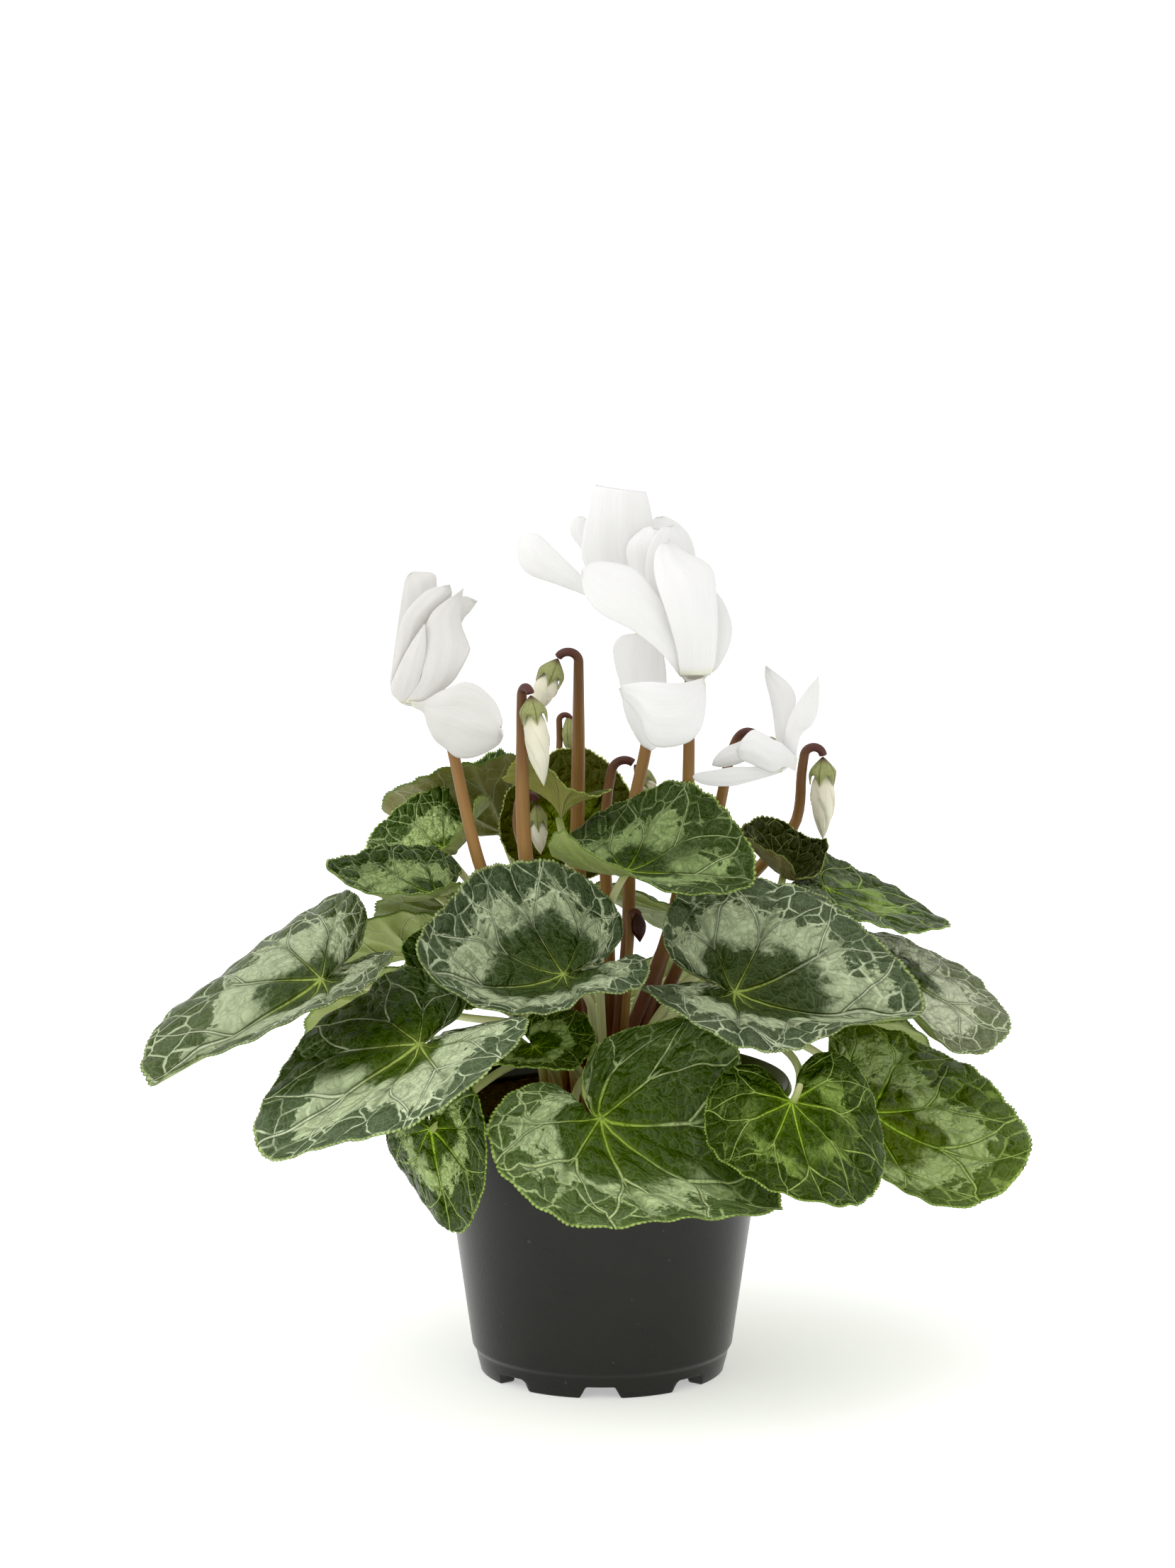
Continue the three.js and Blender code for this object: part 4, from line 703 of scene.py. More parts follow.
def vein_pattern(finish, seed, breadth):
    """The veins of a blade, from its own turn round the joint and its share of the way to the edge."""
    across, share = finish.along()
    turn = (0.5 - across) * (2.0 * CLEFT)
    angle = turn * (math.pi / 180)
    x = share * finish.math("COSINE", angle)
    y = share * finish.math("SINE", angle)
    at = finish.vector(x, y, seed)
    sway = (finish.noise(at, 2.5, 1.0) - 0.5) * VEIN_SWAY
    number = turn * (1 / VEIN_SPACING) + sway * share + 20.0
    off = finish.math("PINGPONG", number, 0.5)
    reach = share * math.radians(VEIN_SPACING)
    main = off * reach
    own = finish.noise(finish.vector(finish.math("ROUND", number), seed), 3.7, 0.0)
    start = own * 0.5 + VEIN_START
    thick = (share * (-VEIN_TAPER * breadth) + VEIN_WIDTH * breadth) * (own * 1.4 + 0.3)
    midrib = abs(turn).ease(MIDRIB_TURN, MIDRIB_TURN - 6)
    onward = finish.math("MAXIMUM", midrib, share.ease(start + 0.16, start))
    fork = finish.math("MINIMUM", finish.math("MAXIMUM", (share - start) * FORK_SPREAD, 0.0), 0.5)
    fork_off = abs(off - fork) * reach
    fork_line = fork_off.ease(FORK_WIDTH * breadth, FORK_WIDTH * breadth / 3)
    fork_line = fork_line * share.ease(start, start + 0.03)
    wobble = (finish.noise(at, 8.0, 2.0) - 0.5) * NET_WOBBLE
    shaken = finish.vector(x + wobble, y - wobble, seed)
    net = finish.cells(shaken, NET_CELLS)
    wide = finish.noise(at, 9.0, 2.0) * 0.08
    return SimpleNamespace(
        at=at, across=across, share=share, angle=angle, net=net,
        lines=finish.math("MAXIMUM", main.ease(thick, thick * 0.3) * onward, fork_line),
        net_line=net.ease(wide, wide * 0.3) * finish.noise(at, 4.5, 2.0).ease(0.34, 0.56),
        patch=finish.node("ShaderNodeTexVoronoi", {"Vector": shaken, "Scale": NET_CELLS}, "Color"),
        fine=finish.cells(shaken, FINE_CELLS),
        close=finish.math("MAXIMUM", main.ease(0.045, 0.0), fork_off.ease(0.035, 0.0)),
        glow=main.ease(0.03 * breadth, 0.0) * share.ease(0.6, 0.1))


def blade_upper(name, look, seed, teeth):
    """The marbled upper face: a dark outer zone, a jagged silver ring and a star with bright veins."""
    finish = Finish(name + "_upper", look.rough, look.shine)
    veins = vein_pattern(finish, seed, look.breadth)
    share, at = veins.share, veins.at
    first, last = look.ring

    # The silver ring
    drift = (finish.noise(at, 2.6, 3.0) - 0.5) * RING_DRIFT
    jagged = (finish.noise(at, 13.0, 7.0, 0.78) - 0.5) * RING_FRAY
    outward = share + drift + (jagged + (veins.patch - 0.5) * RING_STEP) - veins.close * 0.1
    inward = share + drift + jagged * 0.8
    cloud = finish.math("MINIMUM", finish.noise(at, 14.0, 4.0, 0.6) + 0.4, 1.0)
    kept = finish.noise(at, 1.5, 1.0).ease(look.bare + 0.05, look.bare + 0.25)
    outer_green_and_shade = look.outer
    net = look.net
    # Away from side the outer zone darkens to the star's green: painted shade over that part of the blade.
    if look.side is not None:
        turned = finish.math("COSINE", veins.angle - math.radians(look.side))
        facing = (turned + drift).ease(-0.4, 0.05)
        kept = kept * facing
        outer_green_and_shade = finish.mix(facing * 0.75 + 0.25, look.star, look.outer)
        net = (facing * 0.7 + 0.3) * net
    silver = inward.ease(first - 0.05, first + 0.08) * outward.ease(last + 0.02, last)
    silver = silver * cloud * kept * (veins.close * -0.55 + 1.0)

    # The greens, then the silver, then the veins, then the rim
    mottle = finish.noise(at, 6.0, 5.0, 0.65)
    grain = finish.noise(at, 60.0, 3.0, 0.6)
    finish.ground(share.ease(0.66, 0.36), outer_green_and_shade, look.star)
    finish.coat(mottle * 0.4, DEEP_GREEN)
    finish.coat(veins.glow * 0.28, look.heart)
    dark = finish.base
    finish.coat(silver, look.silver)
    finish.coat(silver * (veins.fine.ease(0.09, 0.02) * 0.3), dark)
    finish.coat(grain * 0.06, GRAIN_GREEN)
    pale = finish.mix(share.ease(0.55, 0.2), look.vein, look.heart)
    finish.coat(veins.net_line * (share.ease(0.42, 0.8) * net), look.vein)
    finish.coat(veins.fine.ease(0.07, 0.02) * 0.08, pale)
    inner = share.ease(0.3, 0.06) * (0.95 - look.rays) + look.rays
    outer = share.ease(first, last) * (look.net * 0.5 + 0.35)
    finish.coat(veins.lines * finish.math("MAXIMUM", inner, outer), pale)
    bead = abs(finish.math("SINE", veins.across * (math.pi * teeth)))
    finish.coat(share.ease(0.974, 0.988), finish.mix(bead, look.edge, look.bead))
    finish.base = finish.node("ShaderNodeHueSaturation", {"Value": look.lit, "Color": finish.base})

    puff = veins.net.ease(0.0, 0.35) * 0.9
    relief = veins.lines * -0.8 + puff + veins.fine.ease(0.0, 0.3) * 0.16 + grain * 0.1
    finish.set({"Roughness": silver * 0.1 + (mottle * 0.25 + (look.rough - 0.12))})
    return finish.done(relief, LEAF_RELIEF, 0.95)


def blade_lower(name, look, seed):
    """The pale underside, where the veins stand proud."""
    finish = Finish(name + "_lower", 0.55, 0.15)
    veins = vein_pattern(finish, seed, look.breadth)
    finish.ground(finish.noise(veins.at, 6.0, 4.0) * 0.5, look.under, "#a9b382")
    finish.coat(veins.lines * 0.6, PROUD_VEIN)
    finish.coat(veins.net_line * 0.25, PROUD_VEIN)
    finish.coat(veins.share.ease(0.96, 1.0), look.edge)
    return finish.done(veins.lines + veins.fine * 0.4, 0.0008, 0.8)


def petiole_finish():
    """Pale green with fine streaks, rosy near the crown."""
    finish = Finish("petiole", 0.42)
    along = finish.along()[1]
    streak = finish.streaks(9.0, 2.0)
    finish.ground(streak, "#bcc180", "#dcdcae")
    finish.coat(along.ease(0.28, 0.02), "#b07c62")
    finish.coat(along.ease(0.9, 0.98), "#93a548")
    return finish.done(streak)


def stalk_finish():
    """Brown, darker and more purple towards the hook, with a thin bloom of fine streaks."""
    finish = Finish("stalk", 0.5)
    along = finish.along()[1]
    streak = finish.streaks(10.0, 5.0, 5.0)
    finish.ground(streak, "#7c5828", "#a47c42")
    # Darker red-brown low on the stalk: partly its own colour, partly painted shade among the leaves.
    finish.coat(along.ease(0.4, 0.15), "#62352a")
    finish.coat(along.ease(0.5, 0.88), finish.mix(streak, "#42201a", "#61342a"))
    finish.coat(along.ease(0.25, 0.0), "#7d4c3c")
    finish.set({"Sheen Weight": 0.08, "Sheen Roughness": 0.5})
    return finish.done(streak)


def young_bud_finish():
    """Dark plum, with fine streaks."""
    finish = Finish("young_bud_skin", 0.5, 0.3)
    streak = finish.streaks(12.0, 3.0, 5.0)
    finish.ground(streak, "#2a1518", "#4a2a2c")
    return finish.done(streak, 0.0004)


def sepal_finish(name, rim):
    """Green-grey sepals with dark ribs and a paler rim."""
    finish = Finish(name, 0.55)
    across, along = finish.along()
    rib = finish.math("PINGPONG", across * float(SEPALS), 0.5)
    mottle = finish.streaks(12.0, 5.0)
    finish.ground(mottle, "#7d8448", "#a9ae72")
    finish.coat(rib.ease(0.07, 0.02) * 0.6, "#4d3a2a")
    finish.coat(along.ease(0.8, 1.0), rim)
    finish.coat(along.ease(0.3, 0.0), "#5a3a30")
    return finish.done(mottle)


def petal_finish(name, light, shade):
    """White with the faintest veins along each petal, greener at its root."""
    finish = Finish(name, 0.5, 0.3)
    streak = finish.streaks(16.0, 1.5, 3.0)
    finish.ground(streak * 0.35, light, shade)
    finish.coat(finish.streaks(3.0, 3.0, 3.0) * 0.2, shade)
    finish.coat(finish.along()[1].ease(0.08, 0.0), "#dddec6")
    finish.set({"Subsurface Weight": 0.25, "Subsurface Radius": (1.0, 1.0, 0.9), "Subsurface Scale": 0.002,
        "Sheen Weight": 0.1})
    return finish.done(streak, 0.00025, 0.6)


def bud_finish():
    """Cream, rolled petals whose edges wind down to the point."""
    finish = Finish("bud", 0.5, 0.35)
    across, along = finish.along()
    wound = finish.math("FRACT", across * float(ROLLS) + along * ROLL_TURNS)
    streak = finish.streaks(9.0, 2.0)
    finish.ground(streak, "#f3f0dd", "#e6e2c8")
    # A darker cream line where each rolled edge tucks under the next: painted shade in that crease.
    finish.coat(wound.ease(0.16, 0.0) * 0.3, "#cdc79e")
    finish.coat(along.ease(0.35, 0.1), "#cfd29c")
    finish.set({"Subsurface Weight": 0.2, "Subsurface Scale": 0.002})
    return finish.done(streak)


def anther_finish():
    """Yellow-brown and grainy."""
    finish = Finish("anther", 0.6)
    grain = finish.noise(finish.place(), 2500.0, 2.0)
    finish.ground(grain, "#c98a2c", "#e3b04a")
    return finish.done(grain, 0.0002)


def plastic_finish():
    """Charcoal moulded plastic: satin, with a faint grain, scuffs and specks of dust."""
    finish = Finish("moulded_plastic", 0.3, 0.26)
    at = finish.place()
    scuff = finish.noise(at, 60.0, 6.0, 0.7)
    finish.ground(scuff, "#1d1c1c", "#252423")
    finish.coat(finish.noise(at, 260.0, 2.0).ease(0.74, 0.78) * 0.2, "#6a675f")
    finish.set({"Roughness": scuff * 0.07 + 0.25})
    return finish.done(finish.noise(at, 900.0, 2.0), 0.0001, 0.5)


def peat_finish():
    """Dark crumbs of peat with a few pale fibres."""
    finish = Finish("peat", 0.95, 0.2)
    at = finish.place()
    lump = finish.noise(at, 240.0, 6.0, 0.7)
    finish.ground(lump, "#1d1611", "#4a3828")
    finish.coat(finish.noise(at, 700.0, 3.0).ease(0.66, 0.7) * 0.6, "#8a7354")
    return finish.done(finish.cells(at, 420.0) + lump, 0.0015)


def cork_finish():
    """A brown, cracked skin."""
    finish = Finish("cork", 0.8, 0.3)
    at = finish.place()
    crack = finish.cells(at, 180.0)
    lump = finish.noise(at, 120.0, 6.0, 0.65)
    finish.ground(lump, "#5d4130", "#8b6a4c")
    finish.coat(crack.ease(0.08, 0.0), "#2f2018")
    return finish.done(crack + lump, 0.001)


def paper_finish():
    """The pale floor, which glows a little so that it stays even."""
    finish = Finish("floor_paper", 0.9, 0.1)
    finish.ground(finish.noise(finish.place(), 3.0), "#fafafa", "#fcfcfc")
    finish.set({"Emission Color": (1, 1, 1, 1), "Emission Strength": 0.42})
    return finish.done()


# Leaves

def heart(turn, back):
    """The blade's radius at a turn round its joint, as a share of the length from joint to tip."""
    share = np.abs(turn) / 180
    tip = 1 - OUTLINE_TIP + OUTLINE_TIP * np.exp(-((turn / TIP_WIDTH) ** 2))
    return tip * (1 - back * share ** 2) * np.sqrt(np.maximum(1 - share ** 12, 0))


def arc(length, bend):
    """How far along and how high an arc lies at a length along it."""
    bend = np.where(np.abs(bend) < 1e-6, 1e-6, bend)
    return np.sin(bend * length) / bend, (1 - np.cos(bend * length)) / bend


def half_section(width, fold, curl):
    """A half of the blade's cross section: creased at the midrib by fold, then bent by curl."""
    along = np.zeros_like(width)
    height = np.zeros_like(width)
    step = width / SECTION_STEPS
    for number in range(SECTION_STEPS):
        middle = step * (number + 0.5)
        angle = fold * (1 - np.exp(-middle / CREASE)) + curl * middle / SPAN
        along += np.cos(angle) * step
        height += np.sin(angle) * step
    return along, height


def blade_axes(leaf):
    """Towards the blade's tip, to its left, and out of its upper face."""
    heading, pitch, roll = np.radians([leaf.heading, leaf.pitch, leaf.roll])
    level = math.cos(pitch)
    forward = np.array([level * math.cos(heading), level * math.sin(heading), math.sin(pitch)])
    left = np.array([-math.sin(heading), math.cos(heading), 0])
    up = np.cross(forward, left)
    return forward, left * math.cos(roll) + up * math.sin(roll), up * math.cos(roll) - left * math.sin(roll)


def blade_points(leaf, axes, turn, share, lift_by):
    """Points of the blade's middle surface, raised from it by lift_by, a share of its length."""
    forward, left, up = axes
    reach = share * heart(turn * CLEFT / leaf.cleft, leaf.back)
    u = reach * np.cos(np.radians(turn))
    v = reach * np.sin(np.radians(turn)) * leaf.width
    bend = np.where(u >= 0, math.radians(leaf.tip), math.radians(leaf.base) / LOBE)
    along, height = arc(np.abs(u), bend)
    slope = bend * u
    fold, curl, lobe = [np.radians(np.where(v >= 0, *sides)) for sides in (leaf.fold, leaf.curl, leaf.lobe)]
    across, lift = half_section(np.abs(v), fold, curl + lobe * np.clip(-u / LOBE, 0, 1))
    across *= np.sign(v)
    lift += WAVE * share ** 2 * np.sin(np.radians(turn) * WAVES + leaf.heading) + lift_by
    twist = math.radians(leaf.twist) * u
    sideways = across * np.cos(twist) - lift * np.sin(twist)
    lift = across * np.sin(twist) + lift * np.cos(twist)
    onward = np.where(u >= 0, along, -along) - np.sin(slope) * lift
    raised = height + np.cos(slope) * lift
    offset = onward[..., None] * forward + sideways[..., None] * left + raised[..., None] * up
    return leaf.at + leaf.length * offset


def trumpet_points(leaf, across, share, lift_by):
    """A young blade's middle surface: it climbs from the joint first and then flares out to its own rim."""
    reach = line_at(smooth_line(leaf.rim)[0], across) - leaf.at
    climb = 1 - (1 - np.minimum(share, 1)) ** 1.5 + np.maximum(share - 1, 0)
    flare = share ** 1.7
    points = leaf.at + reach * np.stack([flare, flare, climb], axis=-1)
    points[..., 2] += leaf.length * lift_by
    return points


def tooth_count(leaf):
    return round(2 * math.pi * leaf.length * 0.75 / TOOTH)


def blade(piece, leaf, axes, seed, upper, lower):
    """The blade: toothed at its edge, sunk along the veins and puffed up between them."""
    teeth = tooth_count(leaf)
    stops = np.linspace(0, 1, 3 * teeth + 1), RINGS
    across, share = np.meshgrid(*stops)
    turn = leaf.cleft * (1 - 2 * across)

    # The outline: a tooth every TOOTH millimetres, of uneven height, and a shallow bay at every fifth
    crest = np.abs(np.sin(math.pi * teeth * across)) ** 0.8
    uneven = 0.75 + 0.35 * np.sin(across * 61 + seed) * np.sin(across * 23 + 2 * seed)
    bay = np.abs(np.sin(math.pi * teeth * across / 5 + 0.4 * np.sin(across * 31))) ** 0.7 - 0.7
    outline = (crest * uneven - 0.75) * TOOTH_HEIGHT * ease(share, 0.94, 1)
    outline += bay * BAY_DEPTH * ease(share, 0.8, 1)
    toothed = share * (1 + outline / leaf.length)

    # The relief, in shares of the blade's length
    vein = np.round(turn / VEIN_SPACING)
    off = np.abs(turn / VEIN_SPACING - vein)
    near = off * math.radians(VEIN_SPACING) * share
    inside = ease(share, 1.0, 0.8)
    groove = np.exp(-((near / GROOVE_WIDTH) ** 2)) * ease(share, 0.02, 0.12) * inside
    cell = np.sin(2 * math.pi * off) * np.sin(math.pi * share * 3.3 + seed + 2 * vein) ** 2
    puff = cell * ease(share, 0.15, 0.4) * inside
    ruffle = RUFFLE * np.sin(np.radians(turn) * 23 + seed) * ease(share, 0.75, 1)
    relief = PUFF_HEIGHT * puff - GROOVE_DEPTH * groove + ruffle
    if leaf.rim:
        points = trumpet_points(leaf, stops[0], toothed, relief)
    else:
        points = blade_points(leaf, axes, turn, toothed, relief)
    thick = BLADE * ease(share, 1.0, 0.98) * ease(np.abs(turn), leaf.cleft, leaf.cleft - 4)
    piece.shell(points, thick, upper, lower, stops)


def petiole(piece, leaf, axes):
    """It rises from the crown, comes up to the joint from under the cleft and ends inside the blade."""
    forward, _, up = axes
    outward = math.atan2(leaf.at[1], leaf.at[0])
    foot, start = claim(*leaf.spot or (leaf.crown * math.cos(outward), leaf.crown * math.sin(outward)))
    attach = math.radians(PETIOLE_ATTACH)
    arrive = forward * math.cos(attach) + up * math.sin(attach)
    end = leaf.at + forward * JOINT_FORWARD + arrive * JOINT_INSIDE
    span = np.linalg.norm(end - start)
    low = start + [0, 0, span * PETIOLE_RISE]
    high = leaf.over or end - arrive * span * PETIOLE_HOOK
    share = np.linspace(0, 1, 80)[:, None]
    rest = 1 - share
    line = rest ** 3 * start + 3 * rest ** 2 * share * low + 3 * rest * share ** 2 * high + share ** 3 * end
    line = [foot, *line_at(line, np.linspace(0, 1, PETIOLE_POINTS))]
    radii = np.linspace(PETIOLE_RADIUS, PETIOLE_TOP_RADIUS, len(line))
    piece.grid(stem(line, radii, PETIOLE_SIDES), PETIOLE)


# Stalks, calyxes, buds and corollas

def stalk_line(own):
    """A stalk's own points: a smooth rise through its path, then a round hook at its top."""
    foot, collar = claim(*own["spot"])
    rise, along = smooth_line([collar, *own["path"]])
    rise = line_at(rise, np.linspace(0, 1, STALK_POINTS))
    towards = math.radians(own["towards"])
    aside = np.array([math.cos(towards), math.sin(towards), 0])
    aside = unit(aside - along * aside.dot(along))
    hook = [rise[-1] + own["hook"] * (along * math.sin(turn) + aside * (1 - math.cos(turn)))
            for turn in np.radians(np.linspace(0, own["turn"], HOOK_POINTS)[1:])]
    return np.array([foot, *rise, *hook])


def stalk(piece, line, own):
    """A round stem that thins towards its hook and is thickest in between."""
    share = np.linspace(0, 1, len(line))
    radii = own["radius"] + (own["top_radius"] - own["radius"]) * share
    radii += own["swell"] * ease(share, 0, 0.3) * ease(share, 0.82, 0.5)
    piece.grid(stem(line, radii, STALK_SIDES), STALK_SKIN)


def separate_stalk(name, own):
    """A flower's or a bud's stalk as an object of its own, and its line."""
    own = {**STALK, **own}
    line = stalk_line(own)
    piece = Piece()
    stalk(piece, line, own)
    piece.done("grown_stalk_" + name, "stalk", "stalk_" + name)
    return line


def calyx(name, end, axis, radius, length):
    """A cup of five pointed sepals that opens along an axis, away from the stalk's end."""
    across, share = fine_grid(80, 16)
    around = 2 * math.pi * across
    lobe = np.abs(np.sin(around * SEPALS / 2)) ** 1.2
    wide = radius * np.sin(math.pi / 2 * np.minimum(1, share * CALYX_ROUND))
    wide *= 1 + 0.04 * np.cos(around * SEPALS) * share - 0.08 * ease(share, 0.6, 1)
    deep = length * share * (1 - SEPAL_NOTCH * lobe * share ** 2)
    local = np.stack([wide * np.cos(around), wide * np.sin(around), deep], axis=-1)
    points = stood(local, end + axis * (GAP + 0.4), axis)
    thick = SEPAL * ease(share, 1.0, 0.94)
    thick[0] = SEPAL
    piece = Piece()
    piece.shell(points[:, ::-1], thick, SEPAL_SKIN, SEPAL_INSIDE)
    piece.done("sepals_" + name, "sepal", "calyx_" + name)


def bud_points(end, axis, length, half):
    """A closed bud: rolled petals wind round a slim spindle that ends in a point."""
    slim = half / FULL_BUD
    profile = [(radius * slim, distance) for radius, distance in INSIDE_CALYX]
    profile += [(half * wide, BUD_SHOULDER + (length - BUD_SHOULDER) * share) for wide, share in BUD_SHAPE]
    radii, distances = np.array([*profile, (0, length)], float).T
    stops = np.linspace(distances[0], length, 41)
    radius = np.interp(stops, distances, radii)
    for _ in range(3):
        radius[1:-1] = (radius[:-2] + 2 * radius[1:-1] + radius[2:]) / 4
    rings = lathe(np.stack([radius, stops], axis=1), 40)
    across, share = fine_grid(40, 40)
    wound = np.mod(ROLLS * across + ROLL_TURNS * share, 1.0)
    fold = 1 + ROLL_STEP * (wound - 0.5) * ease(share, 0.25, 0.5)
    rings[..., :2] *= fold[..., None]
    return stood(rings, end, axis)


def petal_points(shape, mouth, stops, seed):
    """A petal's middle surface, between its edges, bulged and rippled."""
    across, share = np.meshgrid(*stops)
    left, right = [line_at(smooth_line(edge)[0], stops[1])[:, None] for edge in shape["edges"]]
    flat = left * (1 - across)[..., None] + right * across[..., None]
    half = np.linalg.norm(right - left, axis=2) / 2
    side = 2 * across - 1
    near, middle, far = shape["depth"]
    depth = near * (1 - share) * (1 - 2 * share) + far * share * (2 * share - 1)
    depth += middle * 4 * share * (1 - share)
    moved = shape["tilt"] * side / 2 - shape["cup"] * half * (1 - side ** 2)
    moved += PETAL_RIPPLE * half * np.sin(8 * share + seed + 1.5 * side) * side ** 2
    moved += PETAL_FINE_RIPPLE * half * np.sin(9 * side + 4 * share + seed)
    depth += moved * ease(share, 0, 0.4)
    return mouth + np.stack([flat[..., 0], depth, flat[..., 1]], axis=-1)


def corolla(name, flower, end):
    """A short cup that opens at its mouth, with petals that leave its rim and anthers inside."""
    mouth = flower["mouth"]
    up = unit(end - mouth)
    length = np.linalg.norm(end - mouth)
    hollow = length - CALYX_LENGTH
    edge = hollow * CUP_EDGE
    within = CUP_RADIUS - CUP_WALL
    outside = [(radius, length - distance) for radius, distance in reversed(INSIDE_CALYX)]
    outside = [(CUP_RADIUS, 0), (CUP_RADIUS, edge), *outside]
    inside = [(0, hollow + CUP_FLOOR), (CUP_FLOOR_RADIUS, hollow), (within, edge), (within, 0),
              (CUP_RADIUS, 0)]
    cone = [(0, -1.7), (0.9, -0.9), (ANTHER_RADIUS, hollow * 0.6), (ANTHER_RADIUS, hollow + 0.3),
            (0, hollow + 0.35)]
    # The left flower takes the darker copy of the petal white: painted shade.
    white = SHADED_WHITE if name == "left" else WHITE
    piece = Piece()
    for profile, round_by, columns, finish in (
            (outside, 1.0, 36, white), (inside, 0.5, 36, white), (cone, 0.3, 12, ANTHER)):
        piece.grid(lathe(rounded(profile, round_by), columns, mouth, up), finish)
    stops = rimmed(22), rimmed(40)
    for number, own in enumerate(flower["petals"]):
        points = petal_points({**PETAL_SHAPE, **own}, mouth, stops, number * PETAL_SEED)
        thick = np.zeros(points.shape[:2])
        thick[1:-1, 1:-1] = PETAL
        piece.shell(points, thick, white, white, stops)
    piece.done("petals_" + name, "petal", "corolla_" + name)


# The plant

PETIOLE = petiole_finish()
STALK_SKIN = stalk_finish()
SEPAL_SKIN = sepal_finish("sepal", "#c2c69c")
SEPAL_INSIDE = sepal_finish("sepal_inside", "#b9bd8e")
WHITE = petal_finish("petal", "#ebeae8", "#d9d9d6")
# A darker copy of the petal white, painted shade, for the left flower.
SHADED_WHITE = petal_finish("shaded_petal", "#dedcd8", "#c9c8c2")
CREAM = bud_finish()
ANTHER = anther_finish()
PLUM = young_bud_finish()

for name, flower in FLOWERS.items():
    end = separate_stalk("flower_" + name, flower["stalk"])[-1]
    calyx("flower_" + name, end, unit(flower["mouth"] - end), CALYX_RADIUS, CALYX_LENGTH)
    corolla(name, flower, end)

for name, own in BUDS.items():
    end = separate_stalk("bud_" + name, own)[-1]
    axis = own["tip"] - end
    length = np.linalg.norm(axis)
    calyx("bud_" + name, end, axis / length, own["half"] * CALYX_PER_BUD, BUD_CALYX_LENGTH)
    piece = Piece()
    piece.grid(bud_points(end, axis / length, length, own["half"]), CREAM)
    piece.done("rolled_bud_" + name, "bud", "bud_" + name)

for name, bare in YOUNG_BUDS.items():
    own = {**STALK, **bare}
    line = stalk_line(own)
    end = line[-1 - YOUNG_BUD_COVERS]
    axis = own["tip"] - end
    length = np.linalg.norm(axis)
    profile = [(own["half"] * wide, length * share) for wide, share in YOUNG_SHAPE]
    profile = rounded([(0, 0), (own["top_radius"], GAP), *profile, (0, length)], 1.2)
    piece = Piece()
    stalk(piece, line, own)
    piece.grid(lathe(profile, 20, end, axis / length), PLUM if name == "small" else SEPAL_SKIN)
    piece.done("grown_young_bud_" + name, "stalk", "young_bud_" + name)

for number, (name, bare) in enumerate(LEAVES.items()):
    leaf = SimpleNamespace(**{**LEAF, **bare})
    look = SimpleNamespace(**{"side": None, **LOOKS.get(name, DARK)})
    axes = blade_axes(leaf)
    upper = blade_upper(name, look, number * LEAF_SEED, tooth_count(leaf))
    lower = blade_lower(name, look, number * LEAF_SEED)
    piece = Piece()
    blade(piece, leaf, axes, number, upper, lower)
    petiole(piece, leaf, axes)
    slot = "leaf_young" if name == "leaf_young_funnel" else "leaf_green"
    piece.done("grown_" + name, "leaf_silvered" if name in SILVERED_LEAVES else slot, name)


# Pot, soil and tuber

def wall_radius(height):
    return POT_WALL_FOOT_RADIUS + POT_SLOPE * (height - POT_WALL_FOOT_HEIGHT)


def pot():
    """The moulded pot: rounded edges, a stepped rim, and eight notches that leave eight feet."""
    shoulder = wall_radius(POT_SHOULDER_HEIGHT)
    floor_top = POT_FLOOR_HEIGHT + POT_WALL
    outline = [
        (POT_RING_RADIUS, 0),
        (POT_BASE_RADIUS, 0), (POT_BASE_RADIUS + 0.9, NOTCH_HEIGHT), (40.2, 6.9),
        (POT_WALL_FOOT_RADIUS - 0.3, 8.4), (POT_WALL_FOOT_RADIUS, POT_WALL_FOOT_HEIGHT),
        (shoulder, POT_SHOULDER_HEIGHT), (shoulder + 2.2, POT_SHOULDER_HEIGHT + 0.8),
        (shoulder + 3.2, POT_HEIGHT - 4), (POT_RIM_RADIUS, POT_HEIGHT - 2.4),
        (POT_RIM_RADIUS - 1.1, POT_HEIGHT), (shoulder + 2.4, POT_HEIGHT - 2.2),
        (shoulder + 0.8, POT_SHOULDER_HEIGHT + 2.2), (shoulder - POT_WALL, POT_SHOULDER_HEIGHT + 0.6),
        (POT_WALL_FOOT_RADIUS - POT_WALL, POT_WALL_FOOT_HEIGHT),
        (38.4, floor_top + 0.7), (37.2, floor_top), (0, floor_top),
    ]
    below = [(0, POT_FLOOR_HEIGHT), (34.6, POT_FLOOR_HEIGHT), (33.8, 0), (POT_RING_RADIUS, 0)]
    spacing = 360 / POT_NOTCHES
    around = np.linspace(0, 360, POT_SIDES + 1)
    from_notch = np.mod(around - FIRST_NOTCH + spacing / 2, spacing) - spacing / 2
    distance = np.abs(np.radians(from_notch)) * POT_BASE_RADIUS
    slope = (NOTCH_FOOT_WIDTH - NOTCH_TOP_WIDTH) / 2
    raised = NOTCH_HEIGHT * np.clip((NOTCH_FOOT_WIDTH / 2 - distance) / slope, 0, 1)
    finish = plastic_finish()
    piece = Piece()
    for profile in (outline, below):
        points = lathe(rounded(profile, POT_ROUNDING, 3), POT_SIDES)
        points[..., 2] = np.maximum(points[..., 2], raised)
        piece.grid(points, finish)
    piece.done("moulded_pot", "pot", "pot")


def lumps(points, scale, rough):
    """How high a lump stands at each point, the same on both sides of the seam."""
    heights = [noise.fractal(Vector(place) * scale, rough, 2.0, 4) for place in points.reshape(-1, 3)]
    heights = np.array(heights).reshape(points.shape[:2])
    heights[:, -1] = heights[:, 0]
    return heights


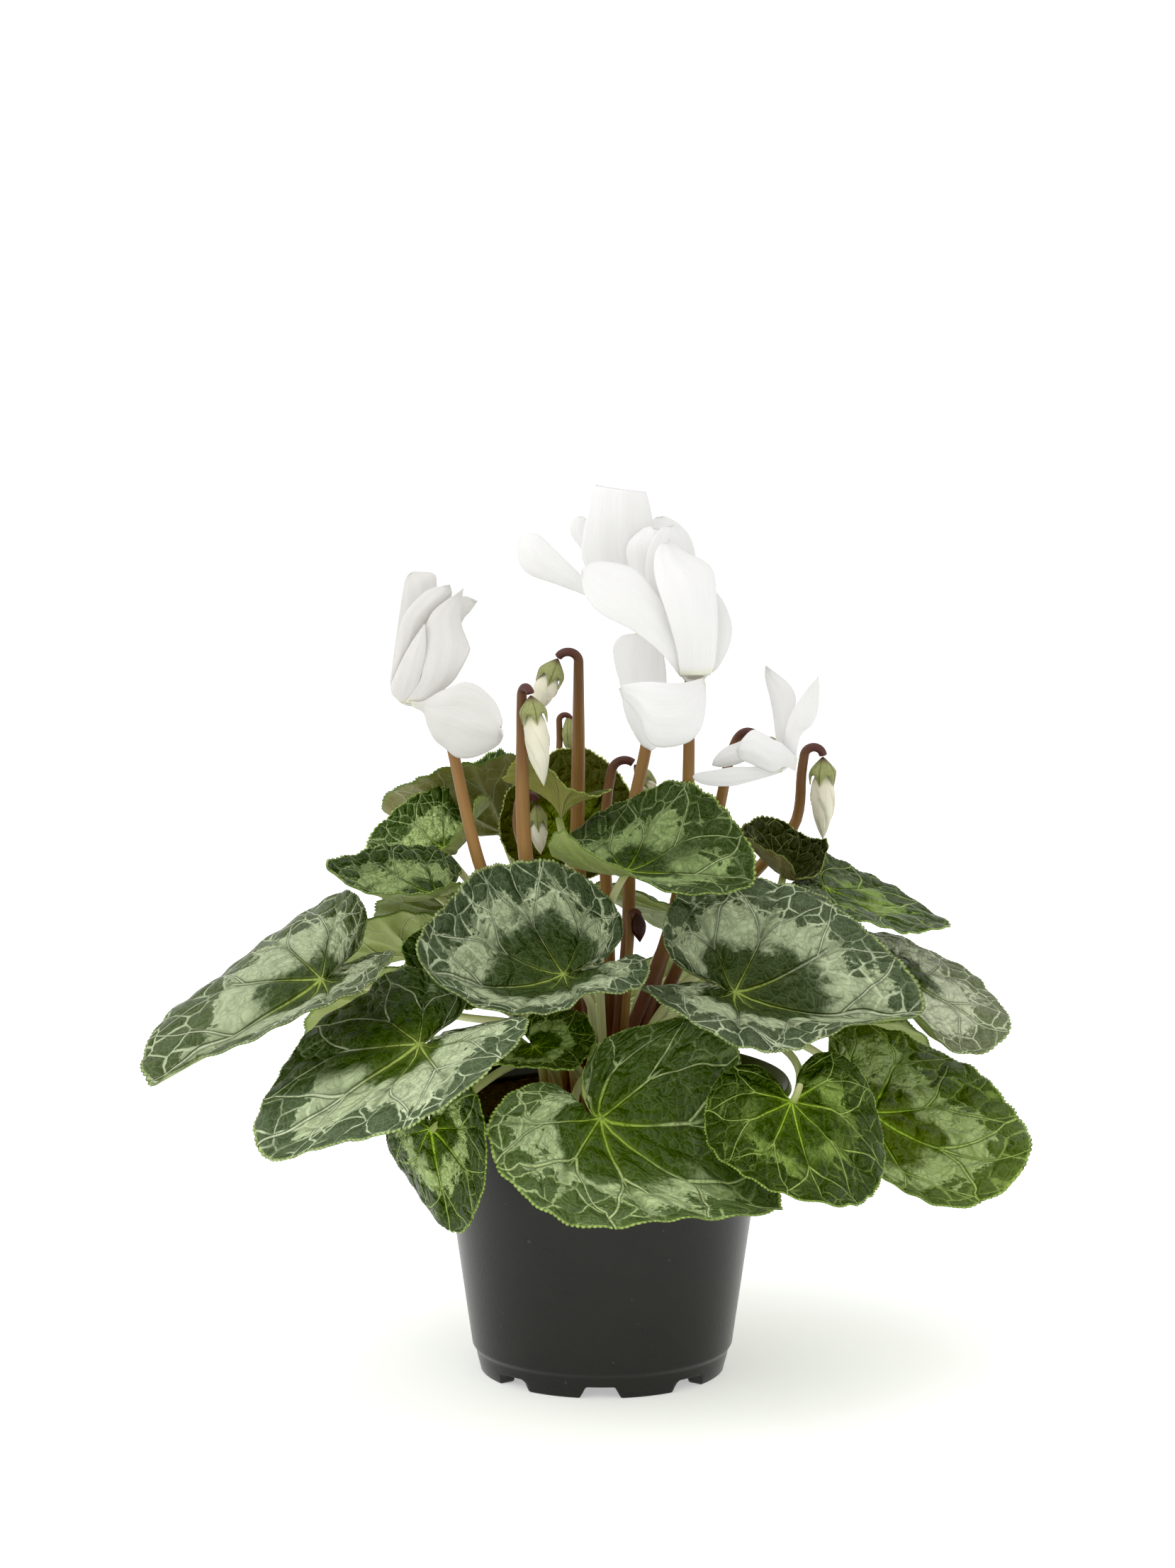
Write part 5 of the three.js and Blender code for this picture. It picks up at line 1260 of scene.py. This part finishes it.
def soil():
    """Peat that fills the pot, crumbly on top."""
    floor = POT_FLOOR_HEIGHT + POT_WALL + GAP
    edge_height = SOIL_TOP - 3
    edge, foot_edge = [wall_radius(height) - POT_WALL - GAP for height in (edge_height, POT_WALL_FOOT_HEIGHT)]
    edge_place = (edge - 0.1, edge_height)
    side = [(0, floor), (36.6, floor), (foot_edge, POT_WALL_FOOT_HEIGHT), edge_place]
    top = [edge_place]
    for radius in np.linspace(edge - 0.8, 0, 44):
        top.append((radius, SOIL_TOP - 1.0 if radius > 31 else SOIL_TOP - 0.6))
    finish = peat_finish()
    piece = Piece()
    wall = lathe(side, SOIL_SIDES)
    piece.grid(wall, finish)
    crumbs = lathe(top, SOIL_SIDES)
    crumbs[..., 2] += CRUMB_HEIGHT * lumps(crumbs, 0.35, 0.7)
    crumbs[0] = wall[-1]
    crumbs[-1] = crumbs[-1].mean(axis=0)
    piece.grid(crumbs, finish)
    piece.done("crumbly_soil", "peat", "soil")


def tuber():
    """The flattened round tuber, its skin cracked and bumpy."""
    turns = np.radians(np.linspace(-90, 90, 41))
    radius = TUBER_RADIUS * np.cos(turns)
    height = TUBER_CENTRE + TUBER_DEPTH * np.sin(turns)
    points = lathe(np.stack([radius, height], axis=1), TUBER_SIDES)
    points[1:-1, :, 2] -= BUMP_HEIGHT * np.abs(lumps(points, 0.3, 0.8))[1:-1]
    piece = Piece()
    piece.grid(points, cork_finish())
    piece.done("corky_tuber", "tuber", "tuber")


pot()
soil()
tuber()


# Floor, light and camera

def floor():
    mesh = bmesh.new()
    bmesh.ops.create_grid(mesh, x_segments=1, y_segments=1, size=40)
    made = bpy.data.meshes.new("floor")
    mesh.to_mesh(made)
    mesh.free()
    made.materials.append(paper_finish())
    plane = placed("floor", made)


def lamp(name, kind, power, turn, place=(0, 0, 0), **shape):
    """A light of some kind, its shape in metres across or in the angle that it fills."""
    light = bpy.data.lights.new(name, kind)
    light.energy = power
    for key, value in shape.items():
        setattr(light, key, value)
    holder = placed(name, light)
    holder.location = place
    holder.rotation_mode = "QUATERNION"
    holder.rotation_quaternion = turn


def camera():
    """Two metres in front of the pot's rim, looking down by the photograph's angle."""
    pitch = math.radians(10.6)
    distance = 2000
    pixels_per_mm = 4.47
    focal = pixels_per_mm * distance
    wide, high = 1658, 2212
    rim_across, rim_down = 850, 1524
    sensor = 36
    forward = np.array([0, math.cos(pitch), -math.sin(pitch)])
    up = np.array([0, math.sin(pitch), math.cos(pitch)])
    ray = forward + up * (high / 2 - rim_down) / focal + np.array([1, 0, 0]) * (rim_across - wide / 2) / focal
    eye = np.array([0, 0, POT_HEIGHT]) - ray * distance
    data = bpy.data.cameras.new("camera")
    data.sensor_width = sensor
    data.lens = sensor * focal / high
    data.clip_end = 100
    holder = placed("camera", data)
    holder.location = (eye + STAND) * MM
    holder.rotation_euler = (math.radians(90) - pitch, 0, 0)
    bpy.context.scene.camera = holder


floor()
lamp("soft_top", "SUN", 0.8, Vector((-0.45, -0.35, 1.0)).to_track_quat("Z", "Y"), angle=math.radians(80))
window = Vector((-1.2, -0.9, 1.3))
plant_middle = Vector((0, 0, 0.15))
lamp("window", "AREA", 4, (plant_middle - window).to_track_quat("-Z", "Y"), window, size=0.55)
world = bpy.data.worlds.new("studio")
world.use_nodes = True
world.node_tree.nodes["Background"].inputs[0].default_value = (1, 1, 1, 1)
world.node_tree.nodes["Background"].inputs[1].default_value = 0.79
bpy.context.scene.world = world
view = bpy.context.scene.view_settings
view.view_transform = "Standard"
view.use_curve_mapping = True
view.curve_mapping.black_level = (0.004, 0.004, 0.005)
view.curve_mapping.update()
camera()
